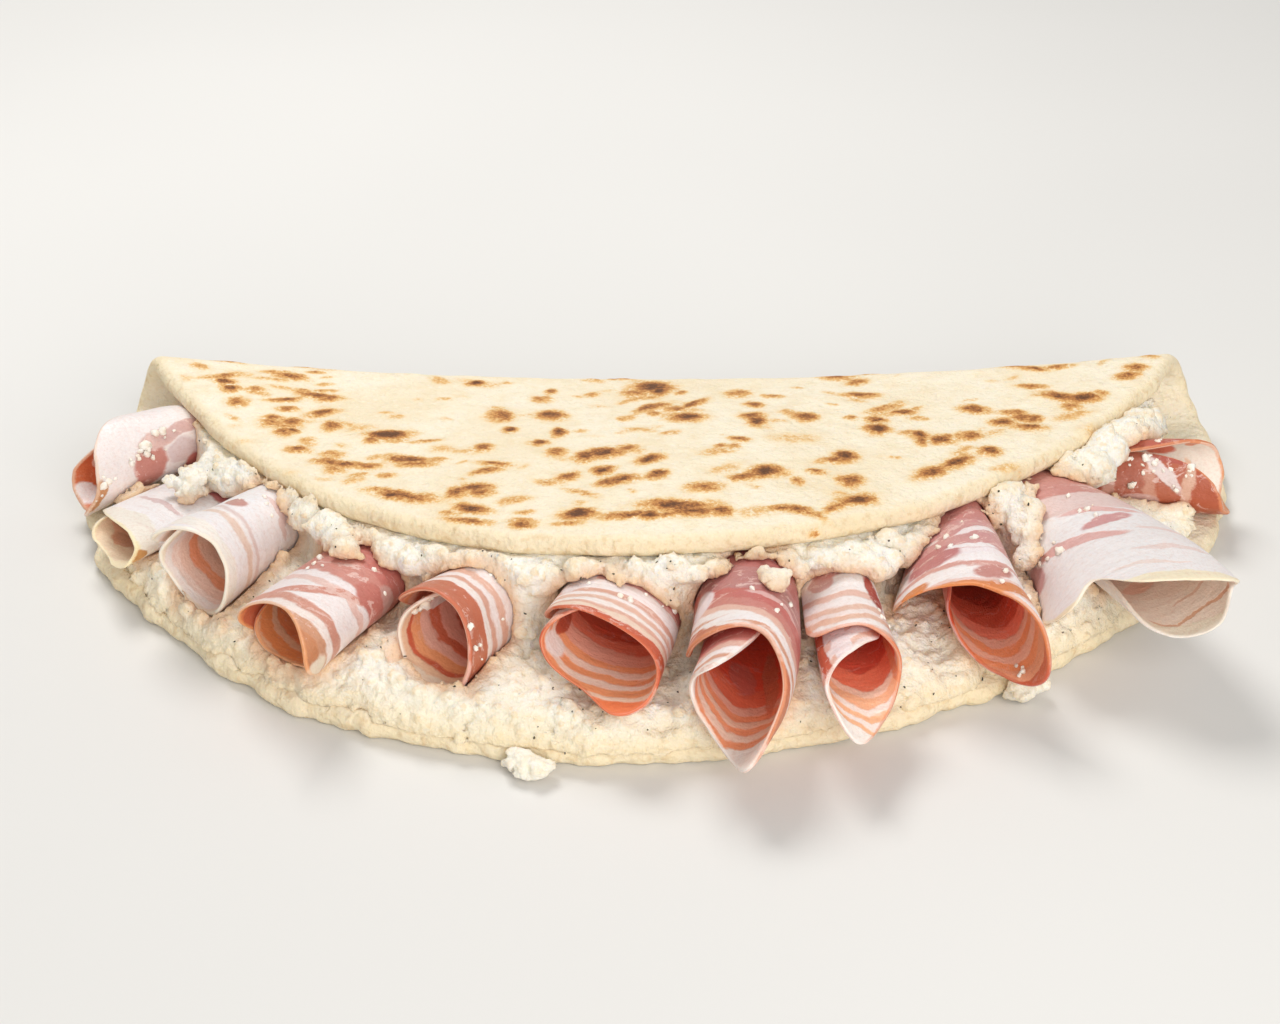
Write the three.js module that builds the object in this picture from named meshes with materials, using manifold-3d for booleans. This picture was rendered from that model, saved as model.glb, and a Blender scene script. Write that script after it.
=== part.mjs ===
// A piadina: one round of flatbread folded over crumbly ricotta and rolled
// slices of cured pork. Millimetres, +Z up, +Y towards the fold, the open
// front towards -Y. The origin is at the bottom centre of the whole.
import * as THREE from 'three';
import Module from 'manifold-3d';

const wasm = await Module();
wasm.setup();

// ---- driving dimensions -------------------------------------------------
const BREAD_HALF_WIDTH = 140.5;   // flat round, across the fold line
const BREAD_HALF_DEPTH = 126.5;   // flat round, front to back
const BREAD_SHIFT = -4.0;         // the fold lies off the round's centre
const BREAD_THICK = 5.0;
const FOLD_RADIUS = 8.2;          // mid surface of the fold, at the middle
const FOLD_RADIUS_GAIN = 2.3;     // the fold opens towards its two ends
const FOLD_PLACE = 8.0;
const FOLD_BOW = 6.0;             // the fold line bows back at its ends
const FLAP_RISE = 13.0;           // how far the filling lifts the flap
const FLAP_RISE_SPREAD = 92.0;
const FLAP_TILT = 0.10;           // slope of the flap where it leaves the fold
const SLICE_DIAMETER = 100.0;     // one slice before it is rolled
const SLICE_THICK = 1.3;
const FIT_GAP = 0.35;             // between pieces that rest on each other
const ORIGIN_SHIFT = [-0.93, 58.08, 0];   // puts the origin under the middle of the whole

// The hand-rolled outline, as a radius factor over the angle.
const OUTLINE_COS = [0.9836, -0.0013, -0.0125, 0.0217, 0.0164];
const OUTLINE_SIN = [0, -0.0307, 0.0098, -0.0309, 0.0030];

// at: middle of the mouth. az: heading in degrees, 0 to the front and
// positive to the right. rm: mouth radius. sz: how flat the tube is squashed.
// egg, twist, bend, rise, roll: how the tube leans. gap: pitch of the spiral.
// phi_out, Phi: where the spiral starts and how far it turns. open: how far
// the outer edge springs away. tip, a0: how pointed the mouth's lip is.
// back: how far the tube reaches behind the slice's middle. pinch, lift: how
// the flap flattens and shifts its hidden end. start: where that begins.
// cut: place, width and depth in mm of each bit missing from the front edge.
const ROLLS = [
  { name: 'roll_01', at: [-126.50, -18.09, 13.40], az: -46, roll: -8.6, rm: 10.5, sz: 0.958, egg: -0.113, tap: 0.5, gap: 2.69, open: 3, phi_out: 149.1, Phi: 385, twist: 11.9, tip: 0.145, a0: 0.3, bend: 5, rise: 0.4, back: 0.152, pinch: 0.42, lift: -2, cut: [[0.6, 0.12, 2.5], [0.53, 0.06, 2.5]] },
  { name: 'roll_02', at: [-116.20, -44.30, 11.90], az: -33.4, roll: 5.8, rm: 12.63, sz: 0.35, egg: -0.001, tap: -0.105, gap: 1.8, open: 1.8, phi_out: 192.5, Phi: 450, twist: -12, tip: 0.188, a0: 0.3, bend: 4, rise: 5, back: 0.397, pinch: 0.681, lift: 0.74 },
  { name: 'roll_03', at: [-95.60, -62.30, 16.30], az: -25, roll: 1, rm: 12.8, sz: 0.97, egg: 0.146, tap: 0.75, gap: 1.9, open: 1, phi_out: 210.7, Phi: 500, twist: 11.6, tip: 0.07, a0: 0.405, bend: 3.1, rise: 6, back: 0.511, pinch: 0.989, lift: 1.2, cut: [[0.36, 0.09, 2], [0.67, 0.14, 5], [0.14, 0.06, -3.5]] },
  { name: 'roll_04', at: [-77.33, -99.01, 16.94], az: -20, roll: 11.8, rm: 15.22, sz: 0.6, egg: 0.047, tap: 0.13, gap: 1.9, open: 0.3, phi_out: 230.7, Phi: 453.2, twist: -11.3, tip: 0.407, a0: 0.2, bend: 6, rise: 6, back: 0.496, pinch: 0.97, lift: 1.02, cut: [[0.47, 0.05, 1.5]] },
  { name: 'roll_05', at: [-39.89, -89.61, 15.29], az: -29, roll: 7.1, rm: 13.46, sz: 1.012, egg: 0.12, tap: 0.75, gap: 2.8, open: 2, phi_out: 199.8, Phi: 520, twist: -11.8, tip: 0.14, a0: 0.35, bend: 6, rise: 6, back: 0.378, pinch: 0.775, lift: -0.69, cut: [[0.12, 0.06, -3]] },
  { name: 'roll_06', at: [-9.88, -106.13, 20.09], az: -14.4, roll: -13.4, rm: 15.87, sz: 0.6, egg: -0.037, tap: 0.364, gap: 2.08, open: 0, phi_out: 195.9, Phi: 490.3, twist: -24.3, tip: 0.224, a0: 0.14, bend: -2.7, rise: 8.1, back: 0.486, pinch: 0.858, lift: 4.6, cut: [[0, 0.06, -5]] },
  { name: 'roll_07', at: [16.83, -122.75, 20.03], az: -13, roll: -5.2, rm: 12.53, sz: 1.103, egg: 0.17, tap: 0.052, gap: 2.62, open: 0.4, phi_out: 205.9, Phi: 484.4, twist: 24.2, tip: 0.319, a0: 0.162, bend: -8.7, rise: 4.7, back: 0.467, pinch: 0.877, lift: -0.37, cut: [[0.22, 0.12, 5.5], [0, 0.06, -6], [0.93, 0.1, -12]] },
  { name: 'roll_08', at: [42.50, -117.67, 17.71], az: 6.9, roll: 7.7, rm: 11.11, sz: 0.626, egg: 0.25, tap: 0.405, gap: 2.73, open: 2.1, phi_out: 133.9, Phi: 520, twist: -25, tip: 0.5, a0: 0.208, bend: 3.7, rise: 1.8, back: 0.8, pinch: 1, lift: -0.02, cut: [[0.49, 0.06, 2], [0.14, 0.08, 3.5], [0, 0.05, -4]] },
  { name: 'roll_09', at: [70.12, -97.65, 19.42], az: 2.9, roll: 3.7, rm: 11.54, sz: 1.071, egg: 0.226, tap: 0.408, gap: 2.78, open: 20.8, phi_out: 205.5, Phi: 427.8, twist: 0, tip: 0.394, a0: 0.359, bend: 1.2, rise: 2.7, back: 0.516, pinch: 0.912, lift: -2.6 },
  { name: 'roll_10', at: [109.50, -86.54, 22.00], az: 14.8, roll: 12.7, rm: 13.1, sz: 0.682, egg: -0.086, tap: 0.077, gap: 2.38, open: 24.5, phi_out: 193, Phi: 390.5, twist: -12, tip: 0.083, a0: 0.407, bend: -9, rise: 8.6, back: 0.608, pinch: 0.929, lift: 3.6, cut: [[0.53, 0.09, 9], [0.125, 0.035, 9], [0.8, 0.12, 1.5]] },
  { name: 'roll_11', at: [123.05, -25.98, 13.80], az: 80.7, roll: 4.7, rm: 10, sz: 0.989, egg: 0.15, tap: 0.5, gap: 2.19, open: 0.2, phi_out: 108.5, Phi: 388, twist: 9.4, tip: 0.202, a0: 0.5, bend: 1.1, rise: -1, back: 0.758, pinch: 0.55, start: 0.7, lift: -6, cut: [[0.45, 0.15, 4], [0.65, 0.1, 2]] },
];

const D2R = Math.PI / 180;
const clamp = (x, a, b) => Math.min(Math.max(x, a), b);
const smooth = (x) => { const t = clamp(x, 0, 1); return t * t * (3 - 2 * t); };
const linspace = (a, b, n) => Array.from({ length: n }, (_, i) => a + (b - a) * i / (n - 1));

// ---- the bread ----------------------------------------------------------
function outline(al) {
  let r = OUTLINE_COS[0];
  for (let k = 1; k < 5; k++) r += OUTLINE_COS[k] * Math.cos(k * al) + OUTLINE_SIN[k] * Math.sin(k * al);
  const turn = al < 0 ? al + 2 * Math.PI : al;     // two places where the hand left it flatter
  return r - 0.024 * Math.exp(-(((turn - 3.833) / 0.22) ** 2)) - 0.026 * Math.exp(-(((turn - 3.2) / 0.11) ** 2));
}
// Distance from the middle to the rim, at flat coordinate v, on one side.
function halfWidth(v, side) {
  const y = (v - BREAD_SHIFT) / BREAD_HALF_DEPTH;
  let lo = 0, hi = 1.3;
  for (let i = 0; i < 40; i++) {
    const mid = (lo + hi) / 2;
    if (Math.hypot(mid, y) < outline(Math.atan2(y, side * mid))) lo = mid; else hi = mid;
  }
  return BREAD_HALF_WIDTH * lo;
}
const rimEnd = (side) => BREAD_SHIFT + side * BREAD_HALF_DEPTH * outline(side * Math.PI / 2);
const foldPlace = (u) => FOLD_PLACE + FOLD_BOW * (u / 135) ** 2;
const foldRadius = (u) => FOLD_RADIUS + FOLD_RADIUS_GAIN * (u / 135) ** 2;
const flapRise = (u) => FLAP_RISE * Math.exp(-((u / FLAP_RISE_SPREAD) ** 2));

// Mid surface of the folded bread: v < 0 lies flat, then the fold, then the flap.
function breadMid(u, v) {
  const r = foldRadius(u), y0 = foldPlace(u), turn = Math.PI - FLAP_TILT;
  const lf = turn * r, z0 = BREAD_THICK / 2;
  if (v <= 0) return new THREE.Vector3(u, y0 + v, z0);
  if (v <= lf) return new THREE.Vector3(u, y0 + r * Math.sin(v / r), z0 + r * (1 - Math.cos(v / r)));
  const s = v - lf, x = s / 100;
  return new THREE.Vector3(u, y0 + r * Math.sin(turn) - s * Math.cos(0.09),
    z0 + r * (1 - Math.cos(turn)) + flapRise(u) * (1.45 * x - 0.45 * x ** 3));
}
function breadFrame(u, v) {
  const e = 0.05, p = breadMid(u, v);
  const du = breadMid(u + e, v).sub(breadMid(u - e, v));
  const dv = breadMid(u, v + e).sub(breadMid(u, v - e));
  return { p, n: du.cross(dv).normalize() };
}
function breadPoint(u, v, off) {
  const { p, n } = breadFrame(u, v);
  return p.addScaledVector(n, off);
}

// ---- mesh helpers -------------------------------------------------------
class Shell {
  constructor() { this.pts = []; this.tri = []; }
  add(p) { this.pts.push(p); return this.pts.length - 1; }
  quad(a, b, c, d) { this.tri.push([a, b, c], [a, c, d]); }
  volume() {
    let s = 0;
    for (const [a, b, c] of this.tri) s += this.pts[a].dot(new THREE.Vector3().crossVectors(this.pts[b], this.pts[c]));
    return s / 6;
  }
  outward() { if (this.volume() < 0) this.tri = this.tri.map(([a, b, c]) => [a, c, b]); return this; }
  solid() {
    return new wasm.Manifold(new wasm.Mesh({
      numProp: 3,
      vertProperties: Float32Array.from(this.pts.flatMap((p) => [p.x, p.y, p.z])),
      triVerts: Uint32Array.from(this.tri.flat()),
    }));
  }
}
// Closed slab from a grid of points on its upper and on its lower side.
function slab(upper, lower, ring = null) {
  const s = new Shell(), n = upper.length, m = upper[0].length;
  const a = upper.map((row) => row.map((p) => s.add(p)));
  const b = lower.map((row) => row.map((p) => s.add(p)));
  for (let i = 0; i < n - 1; i++) for (let j = 0; j < m - 1; j++) {
    s.quad(a[i][j], a[i][j + 1], a[i + 1][j + 1], a[i + 1][j]);
    s.quad(b[i][j], b[i + 1][j], b[i + 1][j + 1], b[i][j + 1]);
  }
  const loop = [];
  for (let j = 0; j < m - 1; j++) loop.push([0, j]);
  for (let i = 0; i < n - 1; i++) loop.push([i, m - 1]);
  for (let j = m - 1; j > 0; j--) loop.push([n - 1, j]);
  for (let i = n - 1; i > 0; i--) loop.push([i, 0]);
  const mid = ring ? loop.map(([i, j]) => s.add(ring(i, j))) : null;
  loop.forEach(([i, j], k) => {
    const k2 = (k + 1) % loop.length, [i2, j2] = loop[k2];
    if (mid) {
      s.quad(a[i][j], mid[k], mid[k2], a[i2][j2]);
      s.quad(mid[k], b[i][j], b[i2][j2], mid[k2]);
    } else s.quad(a[i][j], b[i][j], b[i2][j2], a[i2][j2]);
  });
  return s.outward();
}
// Largest connected body of a solid.
function largest(solid) {
  const mesh = solid.getMesh(), np = mesh.numProp, nv = mesh.vertProperties.length / np;
  const root = Array.from({ length: nv }, (_, i) => i);
  const find = (i) => { while (root[i] !== i) { root[i] = root[root[i]]; i = root[i]; } return i; };
  const at = new Map();
  for (let i = 0; i < nv; i++) {
    const key = [0, 1, 2].map((k) => Math.round(mesh.vertProperties[i * np + k] * 1000)).join();
    if (at.has(key)) root[find(i)] = find(at.get(key)); else at.set(key, i);
  }
  for (let t = 0; t < mesh.triVerts.length; t += 3) {
    root[find(mesh.triVerts[t])] = find(mesh.triVerts[t + 1]);
    root[find(mesh.triVerts[t + 1])] = find(mesh.triVerts[t + 2]);
  }
  const vol = new Map(), P = (i) => new THREE.Vector3(...[0, 1, 2].map((k) => mesh.vertProperties[i * np + k]));
  for (let t = 0; t < mesh.triVerts.length; t += 3) {
    const [a, b, c] = [0, 1, 2].map((k) => mesh.triVerts[t + k]);
    const g = find(a);
    vol.set(g, (vol.get(g) || 0) + P(a).dot(P(b).cross(P(c))) / 6);
  }
  const best = [...vol].sort((x, y) => y[1] - x[1])[0][0];
  const out = new Shell(), id = new Map();
  const key2 = (i) => {
    const k = [0, 1, 2].map((q) => Math.round(mesh.vertProperties[i * np + q] * 1000)).join();
    if (!id.has(k)) id.set(k, out.add(P(i)));
    return id.get(k);
  };
  for (let t = 0; t < mesh.triVerts.length; t += 3) {
    if (find(mesh.triVerts[t]) !== best) continue;
    const [a, b, c] = [0, 1, 2].map((k) => key2(mesh.triVerts[t + k]));
    if (a !== b && b !== c && a !== c) out.tri.push([a, b, c]);
  }
  out.bodies = [...vol.values()].sort((x, y) => y - x);
  return out;
}

// ---- bread solid --------------------------------------------------------
function breadRows(nb, nf, nt, inset = 0) {
  const v0 = rimEnd(-1) + inset, v1 = rimEnd(1) - inset, lf = Math.PI * foldRadius(135);
  const rows = linspace(0.94, 0, nb).map((t) => v0 * Math.sin(Math.PI / 2 * t));
  rows.push(...linspace(0, lf, nf).slice(1));
  rows.push(...linspace(0, 0.94, nt).slice(1).map((t) => lf + (v1 - lf) * Math.sin(Math.PI / 2 * t)));
  return rows;
}
function makeBread(grow = 0) {
  const rows = breadRows(7, 8, 6), cols = linspace(-1, 1, 21);
  const grid = rows.map((v) => {
    const l = halfWidth(v, -1), r = halfWidth(v, 1);
    return cols.map((s) => [s < 0 ? s * l : s * r, v]);
  });
  const ROUND = BREAD_THICK * 0.42;          // how far the rounded rim stands out
  const n = grid.length, m = grid[0].length;
  // The faces stop short of the rim, and the ring between them is the rim's crest.
  const pull = (i, j) => {
    const [u, v] = grid[i][j];
    if (i > 0 && i < n - 1 && j > 0 && j < m - 1) return [u, v];
    const al = Math.atan2((v - BREAD_SHIFT) / BREAD_HALF_DEPTH, u / BREAD_HALF_WIDTH);
    return [u - ROUND * Math.cos(al), v - ROUND * Math.sin(al)];
  };
  const face = (off) => grid.map((row, i) => row.map((_, j) => breadPoint(...pull(i, j), off)));
  const crest = (i, j) => {
    const [u, v] = grid[i][j], al = Math.atan2((v - BREAD_SHIFT) / BREAD_HALF_DEPTH, u / BREAD_HALF_WIDTH);
    return breadPoint(u + grow * Math.cos(al), v + grow * Math.sin(al), 0);
  };
  return slab(face(BREAD_THICK / 2 + grow), face(-BREAD_THICK / 2 - grow), crest);
}

// ---- rolled slices ------------------------------------------------------
const REACH = 0.62;               // where the mouth's middle lies along the slice
const PINCH_START = 0.35;         // behind this the flap squeezes the tube
function rollFrame(R) {
  const az = R.az * D2R, rl = R.roll * D2R;
  const d = new THREE.Vector3(Math.sin(az), -Math.cos(az), 0);
  const up = new THREE.Vector3(0, 0, 1);
  const side = d.clone().negate().cross(up);
  const s = side.clone().multiplyScalar(Math.cos(rl)).addScaledVector(up, Math.sin(rl));
  const n = side.clone().multiplyScalar(-Math.sin(rl)).addScaledVector(up, Math.cos(rl));
  const o = new THREE.Vector3(...R.at).addScaledVector(d, -SLICE_DIAMETER / 2 * REACH);
  return { d, s, n, o };
}
// Half length of the slice along the tube, at a = -1..1 across the slice:
// towards the mouth with its pointed lip, and plain behind the middle.
const roundness = (a) => Math.sqrt(Math.max(1 - 0.86 * Math.abs(a) ** 5, 0));
// The slice's own edge: each cut takes a depth off round one place, or adds it.
const trimmed = (R, q) => (R.cut ?? []).reduce((t, [q0, width, depth]) => t + depth * Math.exp(-(((q - q0) / width) ** 2)), 0);
function sliceHalf(R, a) {
  const aa = Math.sqrt(a * a + 0.0025) - 0.05;
  const lip = 1 - R.tip * (1 - Math.exp(-((aa / R.a0) ** 1.3)));
  return SLICE_DIAMETER / 2 * lip * roundness(a) - trimmed(R, (a + 1) / 2);
}
// q = 0..1 across the slice, round the spiral; b along the tube, in mm from
// the slice's middle; off inward from the outer face.
function rollPoint(R, F, q, b, off) {
  const bb = b / (SLICE_DIAMETER / 2);
  const phi = (R.phi_out - R.Phi * q + R.twist * (bb - 1)) * D2R;
  const thin = 1 - R.tap * (1 - bb) / 2;
  let rho = (R.rm - R.gap * R.Phi * q / 360 - off) * thin;
  rho += R.open * Math.max(1 - q / 0.3, 0) ** 1.7 * clamp(0.35 + bb, 0, 1.35) / 1.35;
  rho = Math.max(rho, 0.8);
  const start = R.start ?? PINCH_START;
  const w = smooth((start - bb) / (start + R.back));
  const ex = rho * Math.cos(phi) + R.bend * (bb - REACH) ** 2;
  const ez = rho * R.sz * Math.sin(phi) * (1 + R.egg * Math.cos(phi)) * (1 - (1 - R.pinch) * w)
    + R.rise * (bb - REACH) + R.lift * w;
  return F.o.clone().addScaledVector(F.d, b).addScaledVector(F.s, ex).addScaledVector(F.n, ez);
}
function makeRoll(R, nq = 17, nb = 5, grow = 0) {
  const F = rollFrame(R), q0 = -grow / 90, q1 = 1 + grow / 90;
  const qs = linspace(q0, q1, nq);
  const face = (off) => qs.map((q) => {
    const a = clamp(2 * q - 1, -1, 1);
    const front = sliceHalf(R, a) + grow, rear = SLICE_DIAMETER / 2 * R.back * roundness(a) + grow;
    return linspace(-rear, front, nb).map((b) => rollPoint(R, F, q, b, off));
  });
  return slab(face(-grow), face(SLICE_THICK + grow));
}

// The room that a roll takes out of the filling: a tube round its section,
// made at each station from the lines that touch the spiral on K sides.
function rollRoom(R, grow, from = 0, K = 10, stations = 7) {
  const F = rollFrame(R), qs = linspace(from, 1, 40);
  const reach = qs.map((q) => sliceHalf(R, 2 * q - 1));
  const rear = SLICE_DIAMETER / 2 * R.back, tip = Math.max(...reach);
  const step = (rear + tip + 2 * grow) / (stations - 1);
  const rings = linspace(-rear - grow, tip + grow, stations).map((b) => {
    const keep = qs.filter((q, i) => reach[i] > b - step - 0.5);
    const pts = keep.map((q) => {
      const p = rollPoint(R, F, q, b, 0).sub(F.o);
      return [p.dot(F.s), p.dot(F.n)];
    });
    const dir = Array.from({ length: K }, (_, k) => [Math.cos(2 * Math.PI * k / K), Math.sin(2 * Math.PI * k / K)]);
    const h = dir.map(([x, y]) => Math.max(...pts.map((p) => p[0] * x + p[1] * y)) + grow);
    return dir.map(([x1, y1], k) => {
      const [x2, y2] = dir[(k + 1) % K], h1 = h[k], h2 = h[(k + 1) % K], det = x1 * y2 - x2 * y1;
      const sx = (h1 * y2 - h2 * y1) / det, sn = (x1 * h2 - x2 * h1) / det;
      return F.o.clone().addScaledVector(F.d, b).addScaledVector(F.s, sx).addScaledVector(F.n, sn);
    });
  });
  const s = new Shell(), id = rings.map((ring) => ring.map((p) => s.add(p)));
  for (let i = 0; i < rings.length - 1; i++) for (let k = 0; k < K; k++) {
    const k2 = (k + 1) % K;
    s.quad(id[i][k], id[i][k2], id[i + 1][k2], id[i + 1][k]);
  }
  for (const i of [0, rings.length - 1]) {
    const c = s.add(rings[i].reduce((t, p) => t.add(p), new THREE.Vector3()).divideScalar(K));
    for (let k = 0; k < K; k++) {
      const k2 = (k + 1) % K;
      if (i === 0) s.tri.push([id[i][k2], id[i][k], c]); else s.tri.push([id[i][k], id[i][k2], c]);
    }
  }
  return s.outward();
}

// ---- ricotta ------------------------------------------------------------
// Smooth noise in the plan, about -1 to 1.
function hash(i, j) {
  const t = Math.sin(i * 127.1 + j * 311.7) * 43758.5453;
  return 2 * (t - Math.floor(t)) - 1;
}
function noise(x, y) {
  const i = Math.floor(x), j = Math.floor(y), fx = smooth(x - i), fy = smooth(y - j);
  const a = hash(i, j) * (1 - fx) + hash(i + 1, j) * fx;
  const b = hash(i, j + 1) * (1 - fx) + hash(i + 1, j + 1) * fx;
  return a * (1 - fy) + b * fy;
}
const RICOTTA_INSET = 4.5;        // bare rim of the lower flap
const RICOTTA_BED = 5.2;          // depth of the layer that the rolls lie on
const RICOTTA_EDGE = 7.0;         // how far its edge takes to thin out
// Lumps that squeeze out past the flap's rim: place across, half width, reach.
const LUMPS_OUT = [
  [-104, 7, 7], [-92, 7, 11], [-70, 5, 14], [-57, 6, 8], [-44, 7, 8], [-29, 8, 8], [-13, 5, 6], [0, 10, 8],
  [27, 5, 6], [43, 8, 8], [84, 5, 17], [101, 7, 9], [113, 7, 11],
];
function flapUnder(u, y) {
  const r = foldRadius(u), turn = Math.PI - FLAP_TILT;
  const s = (foldPlace(u) + r * Math.sin(turn) - y) / Math.cos(0.09), z0 = BREAD_THICK / 2;
  if (s < 0) {
    const ri = r - BREAD_THICK / 2, dy = Math.max(y - foldPlace(u), 0);
    return z0 + r + Math.sqrt(Math.max(ri * ri - dy * dy, 0));
  }
  const x = s / 100, slope = flapRise(u) * (1.45 - 1.35 * x * x) / 100;
  return z0 + r * (1 - Math.cos(turn)) + flapRise(u) * (1.45 * x - 0.45 * x ** 3) - z0 * Math.hypot(1, slope);
}
function flapRim(u) {
  let lo = 26, hi = rimEnd(1) - 0.05;
  const side = Math.sign(u) || 1;
  if (Math.abs(u) > halfWidth(lo, side)) return foldPlace(u);
  for (let i = 0; i < 30; i++) {
    const mid = (lo + hi) / 2;
    if (halfWidth(mid, side) > Math.abs(u)) lo = mid; else hi = mid;
  }
  return breadMid(u, lo).y;
}
function ricottaTop(u, y, edge) {
  const bed = BREAD_THICK + FIT_GAP
    + (RICOTTA_BED + 1.5 * noise(u / 9, y / 9) + 0.7 * noise(u / 4 + 7, y / 4)) * Math.sqrt(clamp(edge / RICOTTA_EDGE, 0.04, 1));
  const rim = flapRim(u);
  const out = LUMPS_OUT.reduce((t, [c, w, reach]) => Math.max(t, reach * Math.exp(-(((u - c) / w) ** 2))), 0) - 2;
  const past = Math.max(rim - 0.8 - y, 0);          // in front of the flap the lumps swell up
  const under = flapUnder(u, Math.max(y, rim + 3)) - FIT_GAP - 0.25
    + Math.min(0.6 * past, 2) - 0.1 * past - (past > 0 ? 0.8 * Math.abs(noise(u / 5, y / 5 + 3)) : 0);
  const w = smooth((y - (rim - out) + 2.5) / 5);
  const cap = Math.abs(u) > 122 ? bed : Math.max(under, bed);
  return bed + (cap - bed) * w;
}
function makeRicotta() {
  const v0 = rimEnd(-1) + RICOTTA_INSET;
  const rows = linspace(0.93, 0, 10).map((t) => v0 * Math.sin(Math.PI / 2 * t));
  rows.push(0.8);
  const cols = linspace(-1, 1, 33);
  const upper = [], lower = [];
  for (const v of rows) {
    const l = halfWidth(v, -1) - RICOTTA_INSET, r = halfWidth(v, 1) - RICOTTA_INSET;
    const up = [], low = [];
    for (const s of cols) {
      let u = s < 0 ? s * l : s * r;
      u = clamp(u, -RICOTTA_SPAN, RICOTTA_SPAN) + (Math.abs(u) > RICOTTA_SPAN ? 0.02 * (u - Math.sign(u) * RICOTTA_SPAN) : 0);
      const y = foldPlace(u) + v, edge = Math.min((1 - Math.abs(s)) * (l + r) / 2, v - v0 + 3);
      up.push(new THREE.Vector3(u, y, ricottaTop(u, y, edge)));
      low.push(new THREE.Vector3(u, y, BREAD_THICK + FIT_GAP));
    }
    upper.push(up); lower.push(low);
  }
  return slab(upper, lower);
}
const RICOTTA_SPAN = 130;         // the filling stops short of the fold's open ends

// Loose lumps: middle, then half sizes across, deep and high.
const LUMPS = [
  { name: 'ricotta_lump_1', at: [-108.8, -38.0, 18.4], size: [4.8, 5.2, 3.6] },
  { name: 'ricotta_lump_2', at: [25.0, -100.8, 31.6], size: [3.4, 3.6, 2.9] },
  { name: 'ricotta_lump_3', at: [79.2, -99.4, 3.8], size: [5.2, 4.4, 3.1] },
  { name: 'ricotta_lump_4', at: [-26.4, -126.5, 3.4], size: [5.8, 4.4, 2.8] },
];
function makeLump(L, grow = 0) {
  const g = new THREE.IcosahedronGeometry(1, 1), p = g.attributes.position;
  const s = new Shell(), id = new Map(), ids = [];
  for (let i = 0; i < p.count; i++) {
    const v = new THREE.Vector3().fromBufferAttribute(p, i), key = v.toArray().map((c) => c.toFixed(4)).join();
    if (!id.has(key)) {
      const k = 1 + 0.16 * hash(v.x * 3.1 + L.at[0], v.y * 2.3 + v.z * 4.7);
      id.set(key, s.add(new THREE.Vector3(...L.at).add(
        new THREE.Vector3(v.x * (L.size[0] * k + grow), v.y * (L.size[1] * k + grow), v.z * (L.size[2] * k + grow)))));
    }
    ids.push(id.get(key));
  }
  for (let i = 0; i < ids.length; i += 3) s.tri.push([ids[i], ids[i + 1], ids[i + 2]]);
  return s.outward();
}

// ---- assembly -----------------------------------------------------------
const colour = {
  bread: 0xe9d3a6, ricotta: 0xefe6d3, slice: 0xc98272,
};
const group = new THREE.Group();
function addMesh(name, shell, color, rough) {
  const g = new THREE.BufferGeometry();
  g.setAttribute('position', new THREE.Float32BufferAttribute(shell.pts.flatMap((p) => [p.x, p.y, p.z]), 3));
  g.setIndex(shell.tri.flat());
  const m = new THREE.Mesh(g, new THREE.MeshStandardMaterial({ color, roughness: rough, metalness: 0 }));
  m.name = name;
  m.position.set(...ORIGIN_SHIFT);
  group.add(m);
}
const bread = makeBread();
const rooms = ROLLS.map((R) => {
  const wide = R.open > 10;             // an edge that springs away leaves filling under it
  const tube = rollRoom(R, FIT_GAP + 0.25, wide ? 0.3 : 0).solid();
  return wide ? tube.add(makeRoll(R, 17, 5, FIT_GAP + 0.25).solid()) : tube;
});
const takeRooms = (solid) => rooms.reduce((t, room) => t.subtract(room), solid);
const breadRoom = makeBread(FIT_GAP).solid();
const lumps = LUMPS.map((L) => [L.name, largest(takeRooms(makeLump(L).solid()).subtract(breadRoom))]);
let filling = takeRooms(makeRicotta().solid());
for (const L of LUMPS) filling = filling.subtract(makeLump(L, FIT_GAP).solid());

addMesh('bread', bread, colour.bread, 0.85);
addMesh('ricotta', largest(filling), colour.ricotta, 0.9);
for (const [name, shell] of lumps) addMesh(name, shell, colour.ricotta, 0.9);
for (const R of ROLLS) addMesh(R.name, makeRoll(R), colour.slice, 0.45);

export default group;
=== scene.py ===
"""Looks of a piadina: a folded round flatbread over ricotta and rolled slices of cured pork.

Shapes are worked out in millimetres with the fold along X and the open front
towards -Y, and are then moved into the part's frame and scaled to metres.
"""
import math

import bpy
import numpy as np
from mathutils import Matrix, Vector


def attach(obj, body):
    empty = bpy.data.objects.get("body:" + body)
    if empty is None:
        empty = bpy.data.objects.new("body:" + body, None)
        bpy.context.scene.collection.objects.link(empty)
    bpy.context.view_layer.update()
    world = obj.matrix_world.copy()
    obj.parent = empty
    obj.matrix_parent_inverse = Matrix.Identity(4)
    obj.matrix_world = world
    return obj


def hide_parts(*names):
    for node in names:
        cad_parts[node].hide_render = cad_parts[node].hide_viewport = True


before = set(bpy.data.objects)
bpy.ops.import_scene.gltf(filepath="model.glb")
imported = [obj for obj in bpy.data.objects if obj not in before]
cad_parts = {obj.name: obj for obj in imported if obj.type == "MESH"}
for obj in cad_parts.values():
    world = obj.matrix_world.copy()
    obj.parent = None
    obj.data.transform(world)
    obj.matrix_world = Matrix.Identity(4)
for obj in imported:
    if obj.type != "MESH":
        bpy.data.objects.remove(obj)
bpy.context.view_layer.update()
SHIFT = np.array([-0.93, 58.08, 0.0])

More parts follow.
